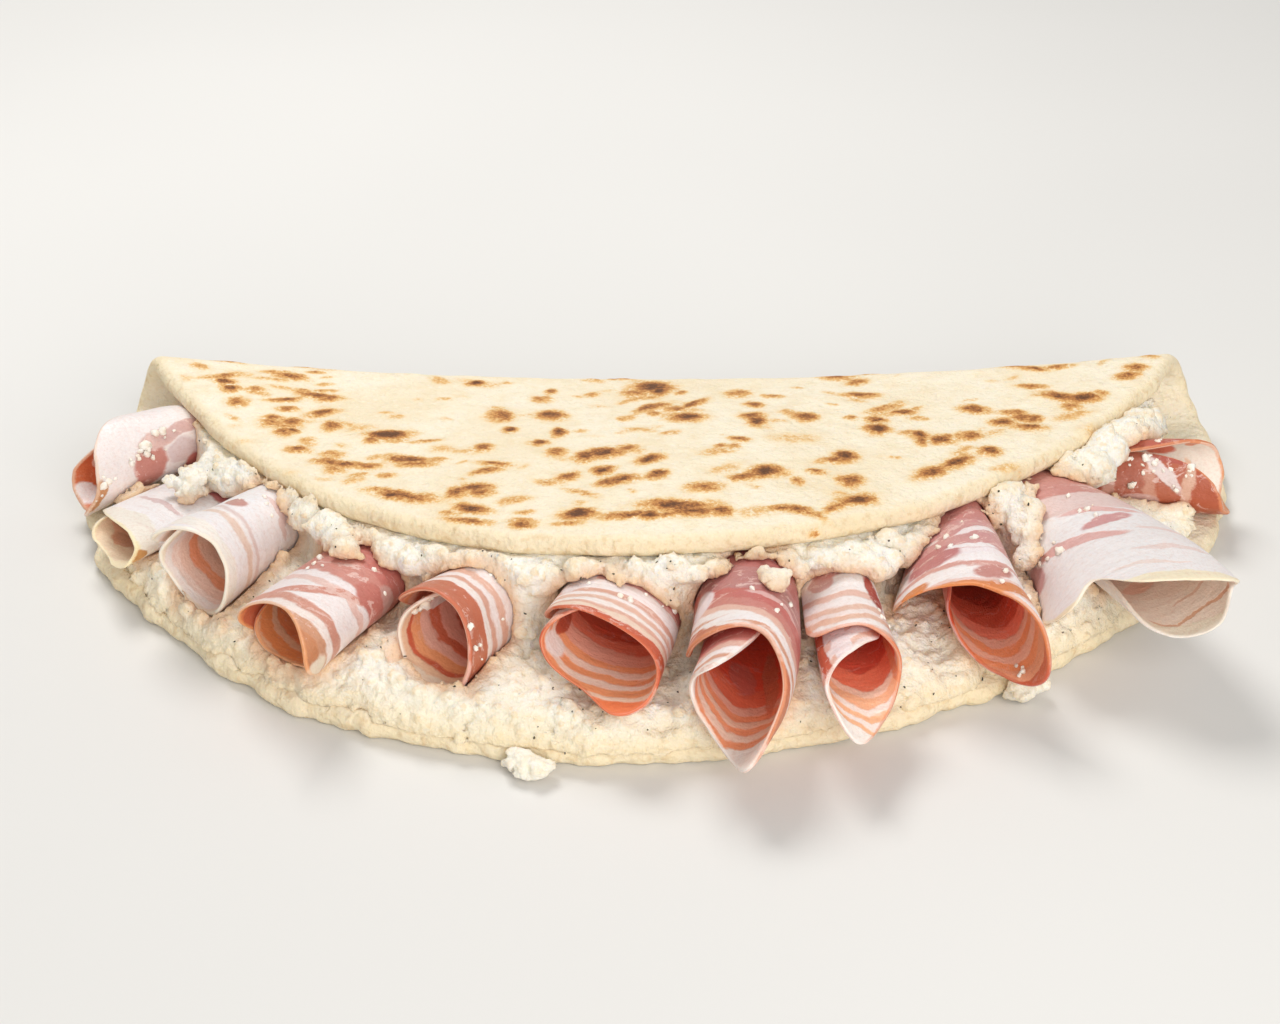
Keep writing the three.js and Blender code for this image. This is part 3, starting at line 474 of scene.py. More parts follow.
# ---- bread mesh ---------------------------------------------------------------
# Toasted marks on the upper flap: place across and along the flat round,
# length, width, turn in degrees, strength.
TOAST = [
    (-113, 32, 4, 2.6, 27, 0.45), (-107, 26, 7, 1.8, 11, 0.45), (-106, 36, 8, 2.1, -28, 0.6), (-105, 39, 3, 2.3, -14, 0.95), (-103, 43, 3, 3.4, -13, 0.75), (-100, 50, 4, 4.1, 38, 0.6),
    (-94, 30, 6, 1.8, -14, 0.4), (-90, 32, 6, 3.1, 12, 0.7), (-92, 35, 4, 1.8, -13, 0.35), (-96, 35, 3, 1.7, -25, 0.35), (-97, 42, 3, 2.3, -39, 0.45), (-88, 24, 4, 1.2, -3, 0.55),
    (-84, 28, 4, 1.8, -12, 0.4), (-81, 35, 3, 1.9, -11, 0.35), (-85, 41, 5, 2.5, 10, 0.5), (-81, 43, 8, 3.1, 9, 0.75), (-79, 45, 4, 2.1, -33, 0.6), (-80, 39, 4, 1.8, -18, 0.4),
    (-89, 47, 6, 2.3, -15, 0.7), (-88, 52, 4, 2.3, -16, 0.6), (-79, 53, 6, 2.9, -22, 0.75), (-90, 58, 3, 3.3, -20, 0.65), (-86, 59, 3, 3.5, -30, 0.8), (-91, 61, 4, 4.5, -7, 0.5),
    (-87, 66, 3, 4, -6, 0.65), (-85, 65, 2, 1.4, 35, 0.9), (-87, 62, 6, 5.7, -7, 0.4), (-76, 61, 3, 4.8, -4, 0.6), (-80, 70, 3, 3.8, -16, 0.35), (-82, 75, 4, 2.8, -3, 0.65),
    (-74, 77, 5, 3.4, -1, 0.45), (-62, 66, 7, 3.7, 7, 0.95), (-65, 69, 3, 3, -1, 0.55), (-59, 69, 5, 2.4, 0, 0.35), (-74, 82, 6, 3.7, 17, 0.6), (-70, 83, 6, 2.8, 0, 0.75),
    (-65, 84, 5, 2.7, 15, 0.65), (-72, 86, 4, 4, 22, 0.5), (-60, 89, 3, 2.1, 14, 0.45), (-64, 79, 3, 2.3, 1, 0.35), (-61, 97, 6, 2, 10, 0.45), (-72, 105, 3, 2.8, 18, 0.4),
    (-56, 81, 8, 3.3, 14, 0.8), (-54, 84, 6, 2.3, 3, 0.65), (-60, 80, 4, 1.7, 2, 0.4), (-49, 81, 3, 2.3, 3, 0.4), (-53, 70, 6, 1.8, -12, 0.35), (-55, 100, 11, 3.4, 19, 0.75),
    (-58, 100, 2, 2, -39, 1), (-44, 109, 3, 2.4, 5, 0.5), (-43, 99, 3, 4.2, 5, 0.75), (-39, 97, 5, 3.2, -2, 0.8), (-38, 100, 4, 2.6, 5, 0.7), (-39, 107, 6, 2.5, 32, 0.85),
    (-40, 113, 8, 2.2, 17, 0.6), (-44, 29, 3, 2.7, -45, 1), (-36, 53, 4, 7.2, 0, 0.6), (-35, 54, 2, 5, 0, 0.75), (-33, 63, 2, 2.7, 1, 0.85), (-39, 74, 3, 3.9, 27, 0.8),
    (-36, 84, 6, 1.7, 11, 0.65), (-37, 88, 5, 2.7, -16, 0.65), (-30, 104, 6, 2.9, -14, 0.4), (-28, 110, 3, 1.4, 4, 0.5), (-28, 114, 5, 1.8, 4, 0.5), (-28, 116, 3, 2.7, 4, 0.85),
    (-24, 53, 5, 5.7, 15, 0.85), (-25, 34, 2, 3.3, -3, 0.65), (-27, 40, 4, 4.2, 28, 0.5), (-22, 65, 2, 4.2, 1, 0.8), (-26, 72, 3, 3.3, 2, 0.85), (-22, 78, 3, 3.8, 3, 0.65),
    (-15, 36, 3, 3.2, -18, 0.45), (-15, 81, 4, 4.3, -6, 0.85), (-11, 79, 5, 4.4, -10, 0.9), (-6, 76, 4, 4.5, 1, 0.6), (-11, 89, 3, 3.5, 2, 0.9), (-19, 92, 4, 3.3, -50, 0.75),
    (-23, 95, 3, 2.7, 4, 0.45), (-8, 95, 7, 3.6, -23, 0.75), (-16, 101, 8, 1.7, 37, 0.4), (-16, 106, 2, 1.5, 3, 0.35), (-16, 112, 5, 3.3, -4, 1), (-14, 110, 2, 1.4, -20, 0.35),
    (-18, 116, 6, 1.8, 3, 0.5), (-7, 113, 7, 2.7, -12, 0.65), (-6, 55, 3, 3, 0, 0.4), (-8, 22, 6, 1.9, 0, 0.5), (0, 30, 7, 7.6, -10, 0.95), (2, 34, 3, 5.1, 0, 1),
    (-4, 35, 6, 6.5, -32, 0.5), (-3, 40, 10, 2.8, -31, 0.4), (-1, 48, 7, 2.7, -47, 0.75), (2, 46, 4, 2.1, -30, 0.6), (0, 52, 2, 3.1, 0, 0.5), (5, 49, 4, 3.8, -16, 0.6),
    (10, 45, 8, 2.4, -52, 0.75), (8, 55, 6, 4.5, -10, 0.9), (7, 35, 2, 3.4, 1, 0.5), (4, 66, 4, 2.7, -39, 0.4), (-1, 83, 5, 3.3, -26, 0.85), (1, 92, 3, 2.8, -35, 0.9),
    (0, 94, 4, 2.2, 0, 0.45), (11, 99, 6, 3.7, -9, 0.6), (5, 108, 11, 3.9, -1, 0.85), (8, 111, 8, 3.8, -1, 0.75), (3, 109, 3, 2.4, -1, 1), (-1, 113, 3, 2.8, 0, 1),
    (-5, 113, 6, 1.9, -6, 0.8), (3, 113, 5, 1.8, -11, 0.5), (14, 111, 4, 2.8, 15, 0.8), (21, 36, 5, 5.7, 2, 0.45), (24, 45, 3, 3.9, 1, 0.7), (24, 54, 4, 4.2, -18, 0.75),
    (25, 58, 3, 5, -1, 0.85), (20, 70, 3, 2.7, -2, 0.75), (15, 75, 2, 2.4, -23, 0.5), (18, 75, 3, 1.9, -16, 0.5), (20, 93, 5, 3.5, -26, 0.7), (25, 90, 6, 4.4, -16, 0.95),
    (29, 39, 4, 2.4, 3, 0.5), (32, 51, 3, 3.6, -14, 0.35), (36, 54, 4, 4.3, 0, 0.8), (46, 25, 6, 3.6, 24, 0.6), (51, 29, 5, 3.4, -26, 0.65), (51, 39, 6, 2.9, 5, 0.7),
    (32, 94, 2, 3.3, -4, 0.6), (37, 89, 3, 2.3, -4, 0.65), (44, 79, 4, 4.1, -15, 0.9), (41, 82, 6, 2.8, -18, 0.7), (44, 93, 4, 4.9, -4, 0.8), (43, 91, 2, 1.7, -4, 0.45),
    (27, 109, 4, 1.9, -4, 0.75), (31, 109, 4, 2.4, 7, 0.8), (34, 111, 6, 2.1, 30, 0.45), (39, 107, 6, 2.3, -53, 0.6), (44, 103, 7, 3.9, -32, 0.85), (35, 117, 2, 1.8, -5, 0.7),
    (47, 55, 3, 2.7, -13, 0.5), (56, 48, 8, 2.9, -33, 0.5), (53, 56, 3, 2.7, 2, 0.85), (53, 62, 4, 4.5, 0, 0.95), (60, 51, 5, 2.6, -10, 0.8), (63, 49, 5, 1.6, -36, 0.4),
    (63, 55, 4, 2.6, 3, 0.35), (62, 66, 4, 3.7, 1, 0.8), (62, 70, 2, 4.2, 0, 0.65), (67, 69, 4, 4.2, 1, 0.85), (69, 67, 2, 2.4, 2, 0.5), (74, 67, 5, 3.5, -9, 0.65),
    (77, 51, 5, 3.6, 14, 0.75), (78, 76, 4, 3.6, -23, 0.8), (63, 87, 8, 3.3, -42, 0.75), (69, 82, 8, 3.2, -43, 0.85), (91, 26, 7, 2.7, 28, 0.5), (95, 29, 5, 2.1, 27, 0.7),
    (101, 29, 7, 2.4, -8, 0.55), (93, 39, 6, 2.3, 19, 0.55), (99, 47, 8, 3.2, 38, 0.8), (105, 49, 5, 4, 5, 0.85), (109, 47, 3, 2.3, 2, 0.45), (101, 53, 4, 3.3, 33, 0.5),
    (86, 54, 6, 2.9, 15, 0.55), (83, 59, 4, 3.5, -6, 0.8), (88, 57, 4, 3.1, 27, 0.65), (91, 58, 3, 2.9, 8, 0.7), (89, 63, 6, 3.3, 14, 0.8), (120, 35, 4, 3.9, 17, 0.65),
    (117, 39, 5, 3.4, -7, 0.65), (125, 29, 4, 2.7, 33, 0.35), (54, 23, 5, 1.2, 2, 0.4),
]


def marks_field(u, v, marks):
    wu = u + 0.8 * noise(stack(u, v, 3.0), 4.2, 31) + 0.3 * noise(stack(u, v, 3.0), 1.9, 32)
    wv = v + 0.7 * noise(stack(u, v, 9.0), 4.2, 33) + 0.3 * noise(stack(u, v, 9.0), 1.9, 34)
    t = np.zeros(u.shape)
    for mu, mv, ml, mw, ang, s in marks:
        near = (np.abs(u - mu) < 14) & (np.abs(v - mv) < 14)
        c, sn = math.cos(math.radians(ang)), math.sin(math.radians(ang))
        x, y = wu[near] - mu, wv[near] - mv
        rho = np.hypot((x * c + y * sn) / (ml * 0.56 + 0.25), (y * c - x * sn) / (mw * 0.52 + 0.15))
        t[near] = np.maximum(t[near], s * (0.78 * np.exp(-0.9 * rho ** 2.4) + 0.3 * np.exp(-0.55 * rho ** 1.3)))
    return t


def random_marks(seed, count, u_half, v_low, v_high, s_low, s_high, size=1.0):
    g = np.random.default_rng(seed)
    out = []
    while len(out) < count:
        u, v = g.uniform(-u_half, u_half), g.uniform(v_low, v_high)
        if math.hypot(u / A, (v - VC) / B) > 0.93:
            continue
        ln = size * g.gamma(3.0, 1.5) + 1.5
        out.append((u, v, ln, ln * g.uniform(0.35, 0.7), g.uniform(-45, 45), g.uniform(s_low, s_high)))
    return out


def round_edge(e, e0=RIM_ROUND):
    return np.sqrt(np.maximum(1 - (1 - np.minimum(e / e0, 1)) ** 2, 0))


def make_bread():
    al = np.concatenate([np.linspace(0, math.pi, 421)[:-1], np.linspace(math.pi, 2 * math.pi, 291)[:-1]])
    n = len(al)
    rim = [0.2, 0.5, 0.9, 1.4, 2.0, 2.8, 3.7, 4.7]
    e_out = np.concatenate([rim, np.arange(5.8, 112, 1.36), [115, 119, 124, 129]])
    e_in = np.concatenate([rim, [6.2, 8.2, 10.6, 13.5, 17], np.arange(21, 125, 4.2)])

    def rings(e, side):
        R = math.sqrt(A * B)
        r = (1 - np.concatenate([[0.0], e]) / R)[:, None]
        a = al[None, :]
        ru, rv = A * outline(a) * np.cos(a), B * outline(a) * np.sin(a)
        low = np.sin(a) < 0
        P1 = stack(ru, rv, 5.0)
        ragged = 0.9 * noise(P1, 13, 41) + 0.35 * noise(P1, 4.0, 42)
        ragged = ragged + np.where(low, 0.9 * noise(P1, 5.5, 45) + 0.6 * noise(P1, 2.9, 43) + 0.25 * noise(P1, 1.7, 44), 0)
        r = r + ragged / R * smooth((r - 0.955) / 0.045)
        u, v = ru * r, VC + rv * r
        dist = (1 - r + ragged / R * smooth((r - 0.955) / 0.045)) * np.hypot(ru, rv)
        h = round_edge(np.maximum(dist, 0))
        h[0] = 0
        F = stack(u, v, 0.0)
        wave = (0.45 * noise(F, 42, 51) + 0.28 * noise(F, 17, 52)) * smooth((v - 24) / 20)
        fine = 0.16 * noise(F, 7, 53) + 0.09 * noise(F, 3.2, 54)
        toast = np.zeros(u.shape)
        if side == "outer":
            up = v > 14
            toast[up] = marks_field(u[up], v[up], TOAST + random_marks(5, 130, 130, 18, 118, 0.12, 0.34, 0.6))
            down = ~up
            toast[down] = marks_field(u[down], v[down], random_marks(6, 210, 136, -128, 12, 0.4, 1.0, 1.0))
            lump = 0.30 * smooth(toast / 0.6) - 0.12 * smooth((toast - 0.55) / 0.4)
            off = -T / 2 * h - np.where(v > 8, (fine + lump) * np.minimum(h, 1), 0) + wave
            off = np.where(v < 0, np.maximum(off, -T / 2 + 0.01), off)
        else:
            toast = marks_field(u, v, random_marks(8, 90, 136, -128, 118, 0.15, 0.6, 1.0))
            off = T / 2 * h + fine * h * 0.6 + wave
        P, _ = bread_point(u, v, off)
        ribs = np.where(low & (dist < 6), 1.0, 0.0) * smooth((6 - dist) / 4)
        P[..., 1] += ribs * (0.6 * noise(stack(u, v * 0.3, P[..., 2]), 2.6, 55) + 0.3 * noise(P, 1.5, 56))
        if side == "inner":
            P[..., 2] += np.where(low, smooth((9 - dist) / 5) * smooth(dist / 2.0), 0) * (0.5 * noise(P, 4.2, 57) + 0.35 * noise(P, 2.3, 58))
        return P, stack(u, v, off + 7.0), toast, dist

    Po, Fo, To, Do = rings(e_out, "outer")
    Pi, Fi, Ti, Di = rings(e_in, "inner")
    rows_o, rows_i = len(Po), len(Pi) - 1
    c_o, _ = bread_point(np.array([0.0]), np.array([VC]), np.array([-T / 2]))
    c_i, _ = bread_point(np.array([0.0]), np.array([VC]), np.array([T / 2]))
    verts = np.concatenate([Po.reshape(-1, 3), Pi[1:].reshape(-1, 3), c_o, c_i])
    flat = np.concatenate([Fo.reshape(-1, 3), Fi[1:].reshape(-1, 3), [[0, VC, 0]] * 2])
    toast = np.concatenate([To.ravel(), Ti[1:].ravel(), [0, 0]])
    dist = np.concatenate([Do.ravel(), Di[1:].ravel(), [120, 120]])
    inner = np.concatenate([np.zeros(Po[..., 0].size), np.ones(Pi[1:, :, 0].size), [0, 1]])
    k = np.arange(n)
    k2 = (k + 1) % n
    quads = []
    for i in range(rows_o - 1):
        quads.append(np.stack([i * n + k, i * n + k2, (i + 1) * n + k2, (i + 1) * n + k], -1))
    base = rows_o * n
    quads.append(np.stack([k2, k, base + k, base + k2], -1))
    for i in range(rows_i - 1):
        a = base + i * n
        quads.append(np.stack([a + k2, a + k, a + n + k, a + n + k2], -1))
    last_o, last_i = (rows_o - 1) * n, base + (rows_i - 1) * n
    c = len(verts) - 2
    tris = np.concatenate([np.stack([last_o + k, last_o + k2, np.full(n, c)], -1),
                           np.stack([last_i + k2, last_i + k, np.full(n, c + 1)], -1)])
    quads, tris = outward(verts, np.concatenate(quads), tris)
    return add_mesh("bread_round", verts, quads, tris, bread_material(),
                    dict(flat=flat, toast=toast, rim=np.clip(dist, 0, 30), inner=inner))


def bread_material():
    M = Mat("flatbread", Roughness=0.78)
    v = M.attr("flat", "Vector")
    toast, rim, inner = M.attr("toast"), M.attr("rim"), M.attr("inner")
    big = M.noise(v, 0.035, 2.0)
    mid = M.noise(v, 0.16, 3.0, 0.55)
    small = M.noise(v, 0.55, 3.0, 0.6)
    fine = M.noise(v, 1.5, 2.0, 0.6)
    base = M.ramp(big, [(0.32, (250, 240, 218)), (0.5, (249, 237, 212)), (0.68, (245, 230, 200))])
    base = M.mix(M.remap(mid, 0.42, 0.75, 0, 0.5), base, (240, 221, 184))
    base = M.mix(M.remap(small, 0.52, 0.72, 0, 0.3), base, (235, 213, 172))
    base = M.mix(M.remap(fine, 0.5, 0.8, 0, 0.25), base, (228, 206, 168))
    base = M.mix(M.remap(M.voronoi(v, 0.42), 0.34, 0.1, 0, 0.35), base, (252, 244, 228))
    # the rim is darker and browner where it rolls over: partly its own browner crust, partly painted shade on the
    # turned-down edge
    edge = M.math("ADD", rim, M.math("MULTIPLY", M.math("SUBTRACT", mid, 0.5), 5.0))
    base = M.mix(M.remap(edge, 3.4, 0.6, 0, 0.45), base, (238, 216, 170))
    base = M.mix(M.math("MULTIPLY", M.remap(edge, 2.2, 0.2, 0, 0.35), M.remap(small, 0.48, 0.7)), base, (214, 176, 122))
    # toasted marks: golden halo, brown middle, dark flecks
    t = M.math("MULTIPLY", M.math("SUBTRACT", small, 0.5), 0.75)
    k = M.remap(toast, 0.02, 0.35, 0, 1)
    t = M.math("ADD", toast, M.math("MULTIPLY", t, k))
    t = M.math("ADD", t, M.math("MULTIPLY", M.math("MULTIPLY", M.math("SUBTRACT", fine, 0.5), 0.8), k))
    col = M.ramp(t, [(0.0, (242, 220, 180)), (0.16, (240, 205, 150)), (0.34, (224, 172, 106)), (0.52, (194, 132, 72)),
                     (0.72, (152, 96, 50)), (0.92, (104, 64, 36))])
    base = M.mix(M.remap(t, 0.02, 0.24), base, col)
    M.set("Base Color", base)
    M.set("Roughness", M.remap(t, 0.1, 0.7, 0.8, 0.62, "LINEAR"))
    M.set("Specular IOR Level", 0.28)
    M.set("Subsurface Weight", 0.12)
    M.b.inputs["Subsurface Radius"].default_value = (0.004, 0.0026, 0.0014)
    M.b.inputs["Subsurface Scale"].default_value = 1.0
    pores = M.voronoi(v, 0.75)
    nb = M.bump(pores, 0.0004, 0.35)
    nb = M.bump(M.noise(v, 1.1, 4.0, 0.65), 0.0009, 0.6, nb)
    nb = M.bump(M.noise(v, 0.3, 2.0, 0.5), 0.0016, 0.55, nb)
    M.set("Normal", nb)
    return M.m


# ---- rolled slices: meshes ------------------------------------------------------
def smin(a, b, k):
    return -k * np.log(np.exp(-a / k) + np.exp(-b / k))


def make_roll(R, seed):
    side = [0.0, 0.1, 0.3, 0.65, 1.2, 1.9, 2.7]
    across = np.concatenate([side, np.linspace(3.6, 96.4, 122), 100 - np.array(side[::-1])])
    q = across / 100
    nq = len(q)
    S = stack(q * 100, 0.0, 31.0 * seed)
    front = R.front(q) + 1.0 * noise(S, 9, 61) + 0.35 * noise(S, 3.1, 62)
    rear = R.rear(q)
    lip = np.array([0.0, 0.1, 0.3, 0.65, 1.15, 1.8, 2.6, 3.5, 4.6])
    tail = np.array([0.65, 0.3, 0.1, 0.0])
    n_mid = 36
    rows, dist = [], []
    for f, g in zip(front, rear):
        total = f + g
        k = min(1.0, total / 20)
        mid = np.linspace(lip[-1] * k, total - tail[0] * k, n_mid + 2)[1:-1]
        e = np.concatenate([lip * k, mid, total - tail * k])
        rows.append(f - e)
        dist.append(np.minimum(e, total - e))
    b, dist = np.array(rows), np.array(dist)
    dist = np.minimum(dist, np.minimum(q, 1 - q)[:, None] * 100)
    nb = b.shape[1]
    Q = np.repeat(q[:, None], nb, 1)
    bb = b / SLICE_R
    phi = np.radians(R.phi_out - R.Phi * Q + R.twist * (bb - 1))
    wave = (0.3 + 0.45 * smooth((bb - 0.3) / 0.6)) * noise(stack(9 * np.cos(phi), 9 * np.sin(phi), b * 0.5 + 40 * seed), 6.5, 63)
    h = round_edge(dist, SLICE_T / 2)
    h[0], h[-1], h[:, 0], h[:, -1] = 0, 0, 0, 0
    outer = R.point(Q, b, SLICE_T / 2 - 0.5 * h, wave)
    inner = R.point(Q, b, SLICE_T / 2 + 0.5 * h, wave)
    ids = np.arange(nq * nb).reshape(nq, nb)
    verts = outer.reshape(-1, 3)
    inside = np.zeros((nq, nb), bool)
    inside[1:-1, 1:-1] = True
    ids2 = ids.copy()
    ids2[inside] = nq * nb + np.arange(inside.sum())
    verts = np.concatenate([verts, inner[inside]])

    def grid(I, flip):
        g = np.stack([I[:-1, :-1], I[1:, :-1], I[1:, 1:], I[:-1, 1:]], -1).reshape(-1, 4)
        return g[:, ::-1] if flip else g

    quads, _ = outward(verts, np.concatenate([grid(ids, False), grid(ids2, True)]))
    d_lip = np.maximum(front[:, None] - b, 0)
    d_side = np.minimum(Q, 1 - Q) * 100
    edge = np.maximum(smin(d_lip, d_side + 1.0, 3.0), 0)
    both = lambda x: np.concatenate([x.ravel(), x[inside]])
    flag = np.concatenate([np.where(inside, 0.0, 0.5).ravel(), np.ones(inside.sum())])
    flat = stack(Q * 100, b, 60.0 * seed)
    ref = [np.interp(Q * 100, *zip(*SKIN[R.name][side]["ref"])) - b for side in "oi"]
    attrs = dict(flat=np.concatenate([flat.reshape(-1, 3), flat[inside]]), edge=both(edge), inner=flag,
                 depth=np.concatenate([ref[0].ravel(), ref[1][inside]]))
    return add_mesh(R.name + "_slice", verts, quads, None, slice_material(R, seed), attrs)
